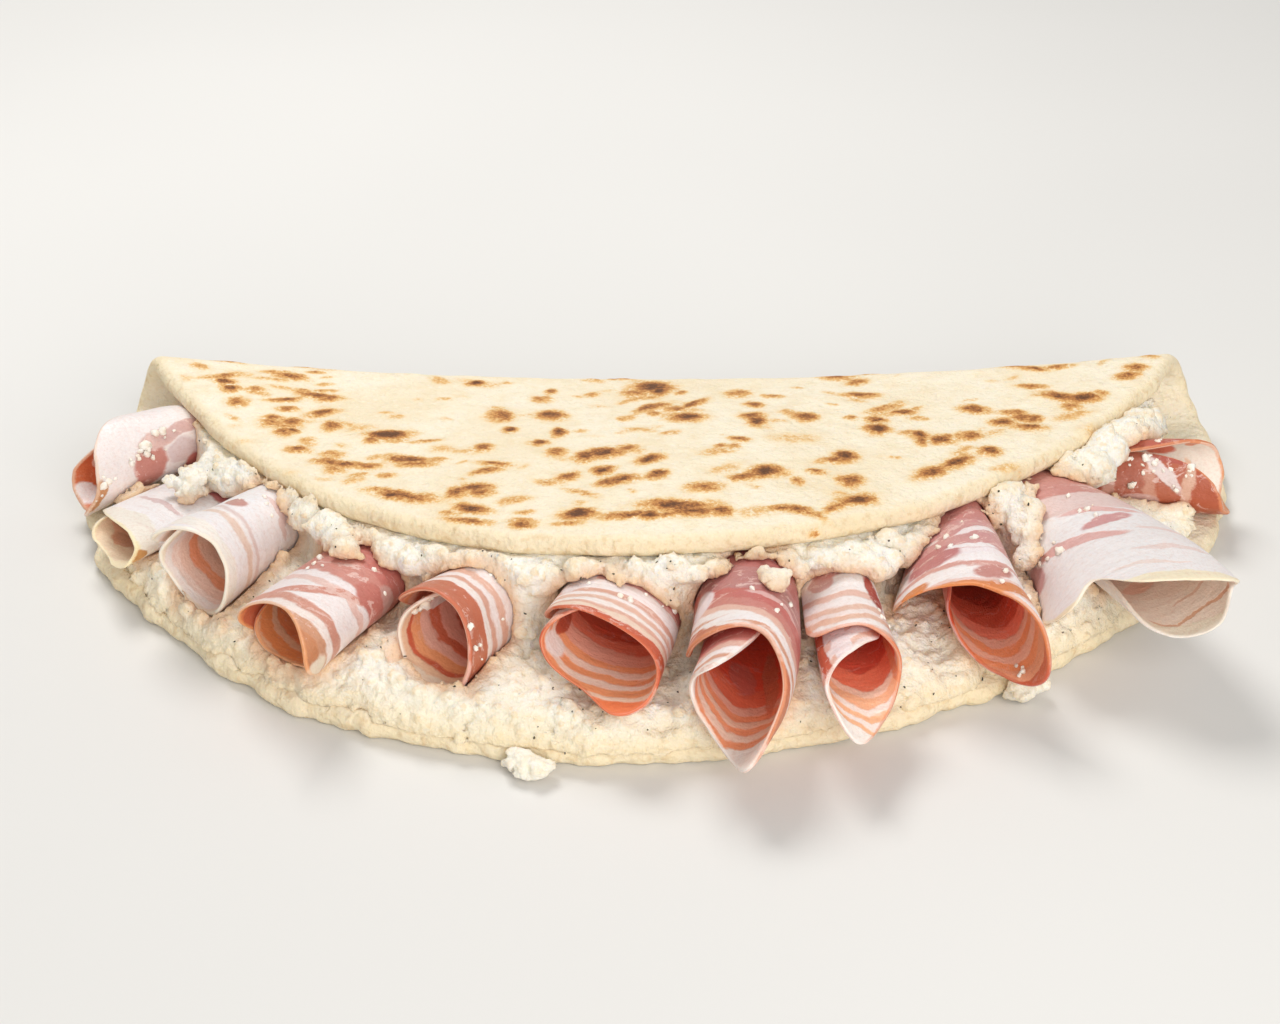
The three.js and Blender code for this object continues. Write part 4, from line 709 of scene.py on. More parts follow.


# How each slice is marbled, on its outer (o) and inner (i) face. Places are in
# mm on the flat slice: x across it, b along it from its middle. lit: how much
# brighter the inside is. ref: a line through points (x, b) that the bands
# follow. bands: depth under that line and colour. spots: x, b, half sizes, turn
# in degrees and colour.
WHITE = (246, 236, 234)
SKIN = {
    "roll_01": dict(rim=(226, 188, 160), o=dict(
        ref=[(0, 46), (50, 48)], bands=[(0, (236, 225, 220)), (4, (239, 227, 224)), (34, (222, 186, 178)), (44, (196, 110, 98))],
        spots=[(36, 45.5, 8, 2.1, 8, (200, 140, 92)), (33, 29, 11.5, 4.8, 6, (202, 132, 120)), (21, 25, 3.6, 6, -10, (222, 182, 173)),
               (19, 18, 3, 8, -24, (212, 172, 166)), (29, 19.5, 5.5, 4.4, 0, (219, 197, 197)), (38, 16.5, 7, 3.2, 4, (190, 108, 102)),
               (10, 38, 6, 1.0, 10, (232, 214, 210))]), i=dict(
        ref=[(50, 46), (100, 44)], bands=[(0, (205, 112, 70)), (9, (190, 92, 54)), (16, (176, 84, 54)), (26, (150, 62, 44))],
        spots=[(67, 40.5, 7.5, 2.8, 4, (240, 232, 230)), (82, 34, 5, 2, 0, (226, 190, 174))])),
    "roll_02": dict(rim=(243, 224, 180), o=dict(
        ref=[(0, 38), (20, 42), (50, 50)], bands=[(0, (241, 222, 178)), (1.8, (242, 229, 213)), (8, WHITE), (34, (226, 196, 192)), (44, (196, 116, 108))],
        spots=[(44, 46.5, 5, 2.2, 0, (202, 144, 80)), (24, 27, 9.8, 0.9, 12.5, (220, 188, 186)), (29.5, 14, 8.8, 2.4, 22, (197, 116, 114)),
               (17.5, 7.5, 3.2, 3, 0, (166, 80, 70)), (10, 18, 5, 1.1, 15, (226, 200, 198))]), i=dict(
        ref=[(50, 48), (72, 46), (100, 38)], bands=[(0, (243, 224, 186)), (2, (230, 202, 172)), (9, (208, 158, 128)), (18, (184, 112, 86))],
        spots=[(68.5, 36.5, 6.5, 2.6, 0, (197, 140, 110))])),
    "roll_03": dict(rim=(241, 228, 206), o=dict(
        ref=[(0, 37), (20, 41), (50, 46)], bands=[(0, (241, 232, 222)), (1.4, (238, 231, 231)), (6.5, (230, 202, 186)), (8.6, (242, 232, 230)), (10.2, (226, 202, 198)),
                                                  (11.8, (242, 235, 236)), (30, (226, 190, 184)), (36, (200, 124, 112))],
        spots=[(23.5, 26.5, 3.4, 2.3, 0, (200, 142, 132)), (13, 16, 6, 1.3, 14, (226, 198, 194)), (34, 20, 7, 1.1, 8, (228, 202, 198))]), i=dict(
        ref=[(50, 47), (75, 44), (100, 38)], bands=[(0, (240, 226, 204)), (1.5, (238, 228, 222)), (4, (236, 210, 198)), (6, (230, 196, 180)), (10, (212, 140, 106)),
                                                    (13.5, (230, 190, 168)), (20, (212, 150, 128)), (28, (196, 124, 102))],
        spots=[(88, 34, 5, 3, 0, (232, 196, 176))])),
    "roll_04": dict(rim=(226, 156, 104), o=dict(
        ref=[(0, 34), (25, 42), (50, 50)], bands=[(0, (208, 136, 92)), (7, (210, 152, 118)), (10.6, (240, 222, 214)), (13.6, (208, 144, 124)), (17.4, (241, 228, 226)),
                                                  (25, (230, 190, 180)), (27.5, (240, 225, 224)), (30.5, (206, 134, 122)), (38, (196, 112, 102))],
        spots=[(54, 45, 4, 5, 0, (238, 218, 194)), (38.5, 23, 12, 1.9, -15, (212, 142, 124)), (13.5, 25, 3.4, 8, 0, (236, 200, 178)), (51, 16.5, 6.5, 4.2, 0, (198, 116, 104)),
               (54, 11.5, 5, 2.4, 0, (204, 154, 144))]), i=dict(
        ref=[(50, 50), (88, 38), (100, 30)], bands=[(0, (238, 214, 184)), (1.5, (224, 148, 94)), (6, (217, 134, 82)), (10.5, (233, 186, 148)), (12.6, (217, 134, 82)),
                                                    (16.6, (233, 184, 146)), (18.8, (208, 120, 76)), (24, (182, 94, 64)), (32, (160, 72, 50))],
        spots=[])),
    "roll_05": dict(rim=(208, 118, 86), rim2=(240, 222, 208), o=dict(
        ref=[(0, 37), (25, 41), (50, 44)], bands=[(0, (198, 108, 78)), (2.8, (241, 227, 222)), (5, (217, 162, 142)), (6.8, (242, 228, 226)), (9, (227, 178, 158)),
                                                  (11.3, (242, 229, 228)), (18.5, (214, 142, 134)), (20.5, (192, 90, 84)), (36, (182, 84, 78))],
        spots=[(30, 15, 7, 1, 12, (226, 180, 172)), (14, 12, 5, 1, -8, (224, 176, 168)), (38, 24, 5, 2.4, 0, (240, 226, 224))]), i=dict(
        ref=[(50, 46), (65, 48), (80, 44), (100, 36)], bands=[(0, (241, 220, 196)), (2, (231, 190, 156)), (4.6, (184, 88, 62)), (6.4, (218, 146, 102)), (10, (228, 172, 154)),
                                                              (13, (172, 86, 62)), (16, (206, 142, 124)), (21, (170, 78, 58)), (27, (158, 54, 38))],
        spots=[(77.5, 30, 2.6, 3.4, 0, (238, 222, 214))])),
    "roll_06": dict(rim=(206, 108, 74), lit=1.18, o=dict(
        ref=[(0, 33), (15, 37), (50, 39.5)], bands=[(0, (204, 90, 58)), (2.2, (238, 208, 188)), (4.4, (223, 168, 148)), (6, (243, 229, 224)), (7.8, (227, 178, 158)),
                                                    (9.8, (244, 230, 228)), (11.2, (221, 162, 143)), (13.4, (245, 230, 229)), (19, (216, 154, 148)), (21, (192, 98, 92)), (34, (184, 92, 87))],
        spots=[(14, 17.5, 4.5, 8, 6, (230, 216, 218)), (32, 12, 6, 0.9, 14, (224, 170, 164))]), i=dict(
        ref=[(50, 48), (72, 46), (100, 42)], bands=[(0, (208, 106, 66)), (3, (233, 194, 170)), (5, (218, 140, 98)), (8, (241, 212, 196)), (10.4, (218, 140, 98)), (13.2, (241, 209, 192)),
                                                    (16, (218, 140, 98)), (19, (219, 156, 136)), (24, (186, 96, 74)), (29, (162, 62, 44))],
        spots=[(72, 34, 4.5, 4.2, 0, (237, 223, 218)), (74, 25, 2.4, 5, 0, (168, 72, 50))])),
    "roll_07": dict(rim=(222, 150, 110), rim2=(242, 228, 220), lit=1.28, o=dict(
        ref=[(0, 20), (12, 28), (25, 33), (35, 37), (50, 42)], bands=[(0, (202, 110, 74)), (3.2, (241, 227, 221)), (4.8, (217, 154, 124)), (6.4, (243, 231, 228)), (9, (229, 180, 162)),
                                                                      (11.5, (205, 124, 114)), (15, (200, 102, 96)), (20, (188, 120, 118)), (30, (186, 104, 100))],
        spots=[(6.5, 10, 3.8, 5.5, 0, (240, 222, 225)), (19, 24.5, 11, 1.1, 13, (243, 232, 230)), (25, 14, 7, 1, 20, (220, 172, 168)), (44, 30, 6, 1.2, 10, (240, 226, 222))]), i=dict(
        ref=[(50, 44), (60, 46), (75, 40), (100, 25)], bands=[(0, (238, 226, 218)), (5.6, (220, 144, 106)), (8.2, (240, 208, 190)), (11, (219, 142, 104)), (13.4, (238, 197, 174)),
                                                              (16, (216, 132, 96)), (19, (224, 164, 144)), (22.5, (192, 88, 64)), (29, (176, 62, 44))],
        spots=[(58, 12, 4, 6, 0, (208, 104, 88)), (49, 14, 2.6, 13, 0, (208, 116, 84)), (90, 16, 6, 8, 0, (244, 210, 160))])),
    "roll_08": dict(rim=(228, 140, 100), rim2=(241, 226, 216), o=dict(
        ref=[(0, 22), (15, 25.5), (30, 27), (50, 40), (70, 40), (100, 28)], bands=[(0, (209, 110, 76)), (2.8, (233, 184, 160)), (5.2, (243, 231, 226)), (8, (231, 180, 156)), (10.6, (241, 219, 213)),
                                                                                   (12.6, (231, 184, 164)), (14.8, (243, 229, 226)), (18, (229, 180, 164)), (20.6, (243, 231, 228)), (34, (240, 222, 218))],
        spots=[(23, 4, 3.2, 7, 0, (168, 64, 54)), (8.5, -2.5, 4, 3.2, 0, (216, 162, 156)), (67.5, 20, 2.6, 18, 0, (207, 96, 66)), (76, 20, 3.6, 18, 0, (239, 223, 222)), (14, -8, 8, 5, 0, (206, 132, 124))]), i=dict(
        ref=[(30, 44), (45, 50), (57, 44), (100, 20)], bands=[(0, (241, 229, 219)), (5, (228, 166, 127)), (7, (241, 219, 209)), (9.4, (226, 162, 123)), (12, (239, 213, 201)), (14.4, (224, 154, 117)),
                                                              (18, (232, 180, 158)), (21, (200, 92, 68)), (28, (180, 58, 42))],
        spots=[(31.5, 25, 1.8, 14, 0, (216, 124, 86))])),
    "roll_09": dict(rim=(226, 144, 88), rim2=(190, 80, 52), o=dict(
        ref=[(0, 26), (12, 30), (24, 33), (50, 36), (75, 44), (100, 40)], bands=[(0, (222, 130, 68)), (1.4, (237, 200, 190)), (2.8, (245, 234, 232)), (8, (216, 154, 142)), (10, (245, 234, 233)),
                                                                                 (14, (241, 226, 227)), (17, (210, 146, 143)), (24, (208, 142, 141)), (34, (200, 124, 122))],
        spots=[(30.5, 28, 6.5, 2.9, 0, (203, 136, 126)), (16, 15.5, 6.5, 5.3, 0, (193, 115, 115)), (27, 15, 8, 1.2, 10, (244, 232, 232)), (11, 26, 3.5, 2.1, 0, (219, 128, 62)),
               (30, 6, 8, 1.4, -6, (240, 224, 224)), (12, 5, 6, 1, 10, (232, 204, 202))]), i=dict(
        ref=[(0, 24), (20, 30), (45, 48), (60, 47), (82, 40), (100, 30)], bands=[(0, (197, 94, 62)), (2.5, (225, 154, 117)), (7, (219, 138, 95)), (10, (233, 179, 155)), (13, (219, 138, 95)),
                                                                                 (16, (233, 178, 155)), (19, (208, 112, 90)), (24, (180, 72, 52)), (33, (160, 50, 36))],
        spots=[(90, 28, 4, 10, 0, (186, 72, 44))])),
    "roll_10": dict(rim=(242, 224, 192), rim2=(240, 226, 212), o=dict(
        ref=[(0, 30), (15, 40), (35, 46), (50, 48), (100, 44)], bands=[(0, (241, 224, 192)), (1.2, (237, 229, 228)), (42, (226, 194, 188)), (52, (204, 134, 124))],
        spots=[(17.5, 13, 10.5, 2.3, 28, (222, 168, 162)), (27.5, 9, 7.5, 2.1, 0, (208, 145, 144)), (30, 4, 10.5, 1.5, 22, (227, 174, 168)), (5, 10, 2.8, 5.3, 0, (204, 156, 155)),
               (32, 30, 10, 1.2, 15, (232, 208, 202)), (24, 36, 9, 0.9, 18, (236, 214, 206)), (36, 19, 7, 1.0, 20, (234, 208, 202))]), i=dict(
        ref=[(0, 28), (50, 48), (100, 36)], bands=[(0, (243, 230, 210)), (1.8, (240, 220, 206)), (16, (237, 210, 194)), (30, (228, 186, 166)), (40, (206, 142, 122))],
        spots=[(57.5, 39, 8, 0.6, -8, (204, 156, 127)), (70, 39, 6, 0.6, 10, (204, 156, 127)), (80, 38.5, 6, 0.6, -17, (204, 156, 127)), (76, 19, 8, 2.4, 8, (226, 176, 156)),
               (64, 31, 9, 0.6, 6, (218, 180, 160))])),
    "roll_11": dict(rim=(220, 144, 98), o=dict(
        ref=[(0, 44), (50, 46), (100, 45)], bands=[(0, (196, 96, 52)), (2.4, (184, 86, 52)), (9, (218, 170, 144)), (11.5, (186, 98, 68)), (18, (206, 146, 122)),
                                                   (20.5, (182, 100, 76)), (28, (204, 150, 132)), (31, (168, 80, 60))],
        spots=[(85, 29, 12, 2.2, -22, (230, 210, 205)), (66, 24, 6, 4.3, 0, (211, 170, 161)), (95, 33, 5, 7, 0, (178, 84, 68)), (24, 34, 12, 3.4, 6, (242, 230, 226)),
               (22, 20, 10, 2.2, -8, (238, 222, 218)), (40, 26, 8, 1.4, 14, (236, 216, 212)), (6, 30, 4, 12, 0, (188, 88, 66))]), i=dict(
        ref=[(0, 44), (50, 46), (100, 42)], bands=[(0, (226, 156, 112)), (1.8, (245, 230, 217)), (22, (236, 200, 178)), (32, (206, 130, 104))],
        spots=[(20, 28, 4, 4, 0, (198, 96, 72)), (32, 36, 7, 1.2, 12, (230, 184, 156)), (10, 36, 7, 1.6, -10, (216, 130, 92))])),
}


def toned(c, k, pale=0.1, gain=1.0):
    """Lighter by the power k, paler by a share, then brighter by a factor."""
    grey = sum(c) / 3
    c = [255 * (min(t + pale * (grey - t), 255) / 255) ** k for t in c]
    return tuple(t * min(gain, 248 / max(c)) for t in c)


def banded(M, d, bands, lifts):
    """A ramp of bands with narrow borders, from their depths in mm."""
    stops, low, high = [], -20.0, 60.0
    place = lambda x: (x - low) / (high - low)
    for n, (x, c) in enumerate(bands):
        c = toned(c, *lifts(x))
        if n:
            stops.append((place(x - 0.28), stops[-1][1]))
        stops.append((place(x + 0.28) if n else 0.0, c))
    return M.ramp(M.math("DIVIDE", M.math("SUBTRACT", d, low), high - low, clamp=True), stops)


def mirrored(bands):
    """The bands next to the line again on its far side, where the slice goes on."""
    near = [b for b in bands if b[0] < 9]
    ends = [x for x, _ in near[2:]] + [17.8]
    far = [(-2.2 - e, c) for e, (_, c) in zip(ends, near[1:])][::-1]
    return far + [(-2.2 - near[1][0], near[0][1])] + list(bands[1:])


def slice_material(R, seed):
    M = Mat(R.name + "_cured", Roughness=0.34)
    v = M.attr("flat", "Vector")
    edge, inner, depth = M.attr("edge"), M.attr("inner"), M.attr("depth")
    skin = SKIN[R.name]
    # one warp of the flat slice bends bands and spots alike, as muscle and fat do
    slow = M.vec("SUBTRACT", M.noise(v, 0.085, 2.0, 0.5, 0.0, "Color"), (0.5, 0.5, 0.5))
    fast = M.vec("SUBTRACT", M.noise(v, 0.42, 3.0, 0.6, 0.0, "Color"), (0.5, 0.5, 0.5))
    wv = M.vec("ADD", M.vec("ADD", v, M.scaled(slow, 5.0)), M.scaled(fast, 1.5))
    bend = M.vec("SUBTRACT", wv, v)
    d = M.math("SUBTRACT", depth, M.parted(bend, 1))
    fibre = M.noise(M.vec("MULTIPLY", v, (0.12, 0.9, 1.0)), 1.0, 3.0, 0.6)
    d = M.math("ADD", d, M.math("MULTIPLY", M.math("SUBTRACT", fibre, 0.5), 1.1))
    face = []
    # painted light: the inner face's colours are lightened more than the outer face's, and more deeper into the roll,
    # so the inside of each roll looks lit; lit raises this further for some slices
    for side, lifts in (("o", lambda x: (0.97, 0.1)), ("i", lambda x: (0.88 - 0.2 * min(max(x - 6, 0) / 22, 1), -0.1 * min(x / 26, 1),
                                                                 skin.get("lit", 1) * (1.02 + 0.14 * min(x / 12, 1) - 0.16 * min(max(x - 16, 0) / 14, 1))))):
        bands = skin[side]["bands"]
        col = banded(M, d, mirrored(bands) if side == "o" else bands, lifts)
        for x, b, rx, ry, ang, c in skin[side]["spots"]:
            # spots on the inner face are lightened as well: painted light inside the roll
            c = toned(c, *((0.97, 0.1) if side == "o" else (0.8, 0.0, 1.05)))
            col = M.mix(M.spot(wv, x, b, rx, ry, ang), col, c)
        face.append(col)
    col = M.mix(M.remap(inner, 0.45, 0.55), face[0], face[1])
    # marbling: thin pale veins in the lean, small pink flecks in the fat
    sep = M.lightness(col)
    vein = M.noise(M.vec("MULTIPLY", wv, (0.07, 0.26, 1.0)), 1.0, 4.0, 0.62, 1.0)
    vein = M.math("MULTIPLY", M.remap(vein, 0.57, 0.63, 0, 0.55), M.remap(sep, 0.62, 0.4))
    vein = M.math("MULTIPLY", vein, M.remap(inner, 0.6, 0.9, 1, 0.3))
    col = M.mix(vein, col, (240, 214, 206))
    fleck = M.noise(M.vec("MULTIPLY", wv, (0.16, 0.5, 1.0)), 1.0, 3.0, 0.6)
    fleck = M.math("MULTIPLY", M.remap(fleck, 0.6, 0.7, 0, 0.22), M.remap(sep, 0.55, 0.75))
    col = M.mix(fleck, col, (230, 190, 182))
    grain = M.noise(v, 0.9, 3.0, 0.65)
    col = M.mix(M.remap(grain, 0.42, 0.78, 0, 0.3), col, (226, 190, 176), "MULTIPLY")
    rim = M.math("ADD", edge, M.math("MULTIPLY", M.math("SUBTRACT", grain, 0.5), 1.6))
    line = M.mix(M.remap(M.parted(v, 0), 44, 52), skin["rim"], skin.get("rim2", skin["rim"]))
    col = M.mix(M.remap(rim, 1.1, 0.35, 0, 0.62), col, line)
    M.set("Base Color", col)
    M.set("Roughness", M.remap(M.noise(v, 0.8, 3.0), 0.3, 0.7, 0.3, 0.48, "LINEAR"))
    M.set("Specular IOR Level", 0.42)
    M.set("Subsurface Weight", 0.3)
    M.b.inputs["Subsurface Radius"].default_value = (0.0026, 0.0018, 0.0015)
    M.b.inputs["Subsurface Scale"].default_value = 1.0
    nb = M.bump(M.noise(v, 1.2, 3.0, 0.55), 0.0003, 0.5)
    nb = M.bump(M.noise(M.vec("MULTIPLY", v, (0.1, 0.35, 1.0)), 1.0, 3.0), 0.0008, 0.45, nb)
    nb = M.bump(sep, 0.00025, 0.6, nb)
    M.set("Normal", nb)
    return M.m


# ---- ricotta --------------------------------------------------------------------
LUMPS_OUT = [
    (-104, 7, 7), (-92, 7, 11), (-70, 5, 14), (-57, 6, 8), (-44, 7, 8), (-29, 8, 8), (-13, 5, 6), (0, 10, 8),
    (27, 5, 6), (43, 8, 8), (84, 5, 17), (101, 7, 9), (113, 7, 11),
]
# Heaps and fingers of curd on top of the rest: middle and half sizes.
HEAPS = [
    ((-103, -30, 16.5), (6, 6, 4.6)), ((-97, -35, 18.5), (6.5, 5.5, 4.4)), ((-90, -39, 20.5), (6, 5, 4.6)), ((-85, -45, 21.5), (5, 4.6, 4.4)),
    ((-80, -51, 21.5), (5, 4.6, 4.2)), ((-84.5, -51, 19.5), (4, 3.6, 3.6)), ((-76, -57, 22), (5.6, 4.6, 4.4)), ((-71, -64, 22.4), (4.8, 4.6, 4)),
    ((-68.5, -71, 23), (4, 4.6, 3.4)), ((-67, -77, 24), (3.4, 3.6, 2.8)), ((-62, -69, 23), (4, 4, 3.4)),
    ((-55, -76, 23), (6, 5, 3.8)), ((-47, -80, 23.5), (6, 4.6, 3.6)), ((-39, -83, 25), (5.2, 3.8, 3.2)), ((-31, -86, 24), (5.6, 4.4, 3.4)),
    ((-24, -87, 23.5), (4.6, 5, 3.4)), ((-18, -88, 24.5), (4.6, 3.6, 3)), ((-10, -88.5, 26), (5, 3.4, 2.8)), ((-2, -88.5, 25.6), (5.4, 3.6, 2.8)),
    ((6, -87.5, 25.6), (5, 3.4, 2.8)), ((12, -87, 26.2), (4.2, 3.2, 2.6)), ((36, -79, 23.4), (4.4, 3.8, 3)), ((42, -80.5, 23.6), (5, 4, 3)),
    ((48, -79.5, 22.4), (4.8, 4.2, 3.4)), ((55, -74, 22), (4.6, 4, 3.2)), ((79, -52, 23), (5.4, 4.6, 4.4)), ((83.5, -56, 20.5), (4.2, 4.2, 4.4)),
    ((85, -60.5, 18), (3.6, 4, 4.2)), ((85, -65, 15.6), (3.8, 3.6, 3.6)), ((97, -38, 20), (5.4, 5, 4.4)), ((102, -33, 20), (6, 5.4, 4.6)),
    ((107, -26, 21), (6, 6, 4.8)), ((112, -20, 21.6), (5.6, 6, 4.6)), ((117, -13, 19.6), (5, 5.6, 4.6)), ((121, -6, 16.6), (4.4, 5, 4.2)),
]


def ricotta_top(u, y, edge):
    F = stack(u, y, 0.0)
    bed = T + (BED + 1.5 * noise(F, 9, 71) + 0.9 * noise(F, 4.2, 72)) * np.sqrt(np.clip(edge / EDGE, 0.0, 1)) + 0.15
    rim = flap_rim(u)
    out = np.zeros(u.shape)
    for c, w, reach in LUMPS_OUT:
        out = np.maximum(out, reach * np.exp(-(((u - c) / w) ** 2)))
    out = out - 2 + 1.2 * noise(F, 5, 73)
    past = np.maximum(rim - 0.8 - y, 0)
    under = flap_under(u, np.maximum(y, rim + 3)) + np.minimum(0.6 * past, 2) - 0.1 * past - np.where(past > 0, 0.9 * np.abs(noise(F, 5, 74)), 0.1)
    w = smooth((y - (rim - out) + 2.5) / 5)
    cap = np.where(np.abs(u) > 122, bed, np.maximum(under, bed))
    return bed + (cap - bed) * w


class Field:
    """A box of cells that holds about how far each point is outside the curd."""

    def __init__(self, low, high, size):
        self.h, self.low = size, np.array(low, float)
        self.n = np.ceil((np.array(high) - self.low) / size).astype(int) + 1
        self.x, self.y, self.z = (self.low[c] + size * np.arange(self.n[c]) for c in range(3))
        self.D = np.full(self.n, 9.0, np.float32)

    def points(self, window=None):
        x, y, z = self.x, self.y, self.z
        if window:
            x, y, z = x[window[0]], y[window[1]], z[window[2]]
        return stack(x[:, None, None], y[None, :, None], z[None, None, :])

    def window(self, low, high):
        a = np.clip(np.floor((np.array(low) - self.low) / self.h).astype(int), 0, self.n)
        b = np.clip(np.ceil((np.array(high) - self.low) / self.h).astype(int) + 1, 0, self.n)
        return tuple(slice(i, j) for i, j in zip(a, b)) if (b > a).all() else None

    def ball(self, c, r, cut=False):
        c, r = np.array(c, float), np.broadcast_to(np.array(r, float), 3)
        w = self.window(c - r - 1.5, c + r + 1.5)
        if w is None:
            return
        k = [((a[s] - ci) / ri) ** 2 for a, s, ci, ri in zip((self.x, self.y, self.z), w, c, r)]
        d = (np.sqrt(k[0][:, None, None] + k[1][None, :, None] + k[2][None, None, :]) - 1) * r.min()
        self.D[w] = np.maximum(self.D[w], -d) if cut else np.minimum(self.D[w], d)

    def take_rolls(self, gap, only=None):
        for R in ROLL:
            w = self.window(R.o - 62, R.o + 62)
            if w is None:
                continue
            near = np.where(self.D[w] < 3)
            if not len(near[0]):
                continue
            P = stack(self.x[w[0]][near[0]], self.y[w[1]][near[1]], self.z[w[2]][near[2]])
            room = R.room(P) - gap
            D = self.D[w]
            D[near] = np.maximum(D[near], -room)

    def surface(self, seed, count, up=True):
        """Random points on the surface with the way out of it."""
        g = np.random.default_rng(seed)
        near = np.argwhere(np.abs(self.D) < 0.6 * self.h)
        near = near[(near > 1).all(1) & (near < self.n - 2).all(1)]
        pick = near[g.choice(len(near), min(count, len(near)), replace=False)]
        i, j, k = pick.T
        grad = np.stack([self.D[i + 1, j, k] - self.D[i - 1, j, k], self.D[i, j + 1, k] - self.D[i, j - 1, k],
                         self.D[i, j, k + 1] - self.D[i, j, k - 1]], -1)
        grad /= np.linalg.norm(grad, axis=1, keepdims=True) + 1e-6
        P = self.low + self.h * pick
        keep = grad[:, 2] > -0.5 if up else np.ones(len(P), bool)
        return P[keep], grad[keep], g

    def roughen(self, seed, coarse=0.8):
        """Breaks up the surface in all three directions."""
        near = np.where(np.abs(self.D) < 3.5)
        P = stack(self.x[near[0]], self.y[near[1]], self.z[near[2]])
        crack = np.maximum(0.28 - np.abs(noise(P, 4.6, seed + 3)), 0) / 0.28
        self.D[near] += coarse * (noise(P, 5.2, seed) + 0.6 * noise(P, 2.6, seed + 1) + 0.4 * noise(P, 1.5, seed + 2) + 0.3 * crack)

    def curdle(self, seed, coarse=1.0, size=1.0):
        """Covers the surface with curds and grains of several sizes, with pits between."""
        area = np.count_nonzero(np.abs(self.D) < 0.6 * self.h) * self.h ** 2
        for n, (per, low, high, sink) in enumerate([(0.011, 1.7 * size, 3.1 * size, 0.85), (0.05, 0.9 * size, 1.7 * size, 0.6), (0.2, 0.55, 1.0, 0.35)]):
            P, N, g = self.surface(seed + n, int(area * per * coarse))
            r = g.uniform(low, high, len(P))
            C = P - N * (r * sink)[:, None]
            for c, q in zip(C, r):
                self.ball(c, q * g.uniform(0.8, 1.2, 3))
            if n:
                P, N, g = self.surface(seed + 20 + n, int(area * per * 0.35))
                for c, nn in zip(P, N):
                    q = g.uniform(low * 0.5, high * 0.5)
                    self.ball(c + nn * q * 0.55, q, cut=True)

    def mesh(self, level=0.0):
        """Surface nets: one point for each cell that the surface crosses."""
        D = self.D - level
        n = np.array(D.shape) - 1
        s = [D[i:i + n[0], j:j + n[1], k:k + n[2]] for i in (0, 1) for j in (0, 1) for k in (0, 1)]
        neg = sum((c < 0).astype(np.int8) for c in s)
        act = (neg > 0) & (neg < 8)
        cells = np.argwhere(act)
        vid = np.full(n, -1, np.int64)
        vid[act] = np.arange(len(cells))
        corner = [(i, j, k) for i in (0, 1) for j in (0, 1) for k in (0, 1)]
        val = np.stack([c[act] for c in s], -1)
        P, cnt = np.zeros((len(cells), 3)), np.zeros(len(cells))
        for a in range(8):
            for axis in range(3):
                if corner[a][axis] == 0:
                    q = list(corner[a])
                    q[axis] = 1
                    b = corner.index(tuple(q))
                    va, vb = val[:, a], val[:, b]
                    cross = (va < 0) != (vb < 0)
                    t = np.where(cross, va / np.where(cross, va - vb, 1), 0)
                    p = np.array(corner[a], float)[None, :].repeat(len(cells), 0)
                    p[:, axis] += t
                    P += np.where(cross[:, None], p, 0)
                    cnt += cross
        P = cells + P / cnt[:, None]
        quads = []
        for axis in range(3):
            u, w = [(1, 2), (2, 0), (0, 1)][axis]
            lo = [slice(1, None)] * 3
            lo[axis] = slice(0, n[axis])
            d0 = D[tuple(slice(0, n[c]) if c == axis else slice(1, n[c]) for c in range(3))]
            d1 = D[tuple(slice(1, n[c] + 1) if c == axis else slice(1, n[c]) for c in range(3))]
            at = np.argwhere((d0 < 0) != (d1 < 0))
            at_full = at.copy()
            for c in range(3):
                if c != axis:
                    at_full[:, c] += 1
            ids = []
            for du, dw in ((1, 1), (0, 1), (0, 0), (1, 0)):
                q = at_full.copy()
                q[:, u] -= du
                q[:, w] -= dw
                ids.append(vid[q[:, 0], q[:, 1], q[:, 2]])
            f = np.stack(ids, -1)
            flip = d0[tuple(at.T)] >= 0
            f[flip] = f[flip][:, ::-1]
            quads.append(f[(f >= 0).all(1)])
        quads = np.concatenate(quads)
        return self.low + self.h * P, quads


def keep_big(verts, quads, least=60):
    """Drops bits that hang on to nothing."""
    n = len(verts)
    lab = np.arange(n)
    a = np.concatenate([quads[:, 0], quads[:, 1], quads[:, 2], quads[:, 3]])
    b = np.concatenate([quads[:, 1], quads[:, 2], quads[:, 3], quads[:, 0]])
    while True:
        m = np.minimum(lab[a], lab[b])
        new = lab.copy()
        np.minimum.at(new, a, m)
        np.minimum.at(new, b, m)
        new = new[new]
        if (new == lab).all():
            break
        lab = new
    count = np.bincount(lab, minlength=n)
    keep = count[lab] >= least
    ids = np.cumsum(keep) - 1
    q = quads[keep[quads[:, 0]]]
    return verts[keep], ids[q]


def sampled(field, D, P):
    """Value of a grid at points, by nearest cell."""
    i = np.clip(np.rint((P - field.low) / field.h).astype(int), 0, field.n - 1)
    return D[i[:, 0], i[:, 1], i[:, 2]]


def blurred(D, steps=3):
    E = D.astype(np.float32)
    for _ in range(steps):
        for axis in range(3):
            E = (np.roll(E, 1, axis) + 2 * E + np.roll(E, -1, axis)) / 4
    return E


def near_slices(P):
    d = np.full(len(P), 9.0)
    for R in ROLL:
        k = np.linalg.norm(P - R.o, axis=1) < 75
        if k.any():
            d[k] = np.minimum(d[k], R.room(P[k]))
    return d


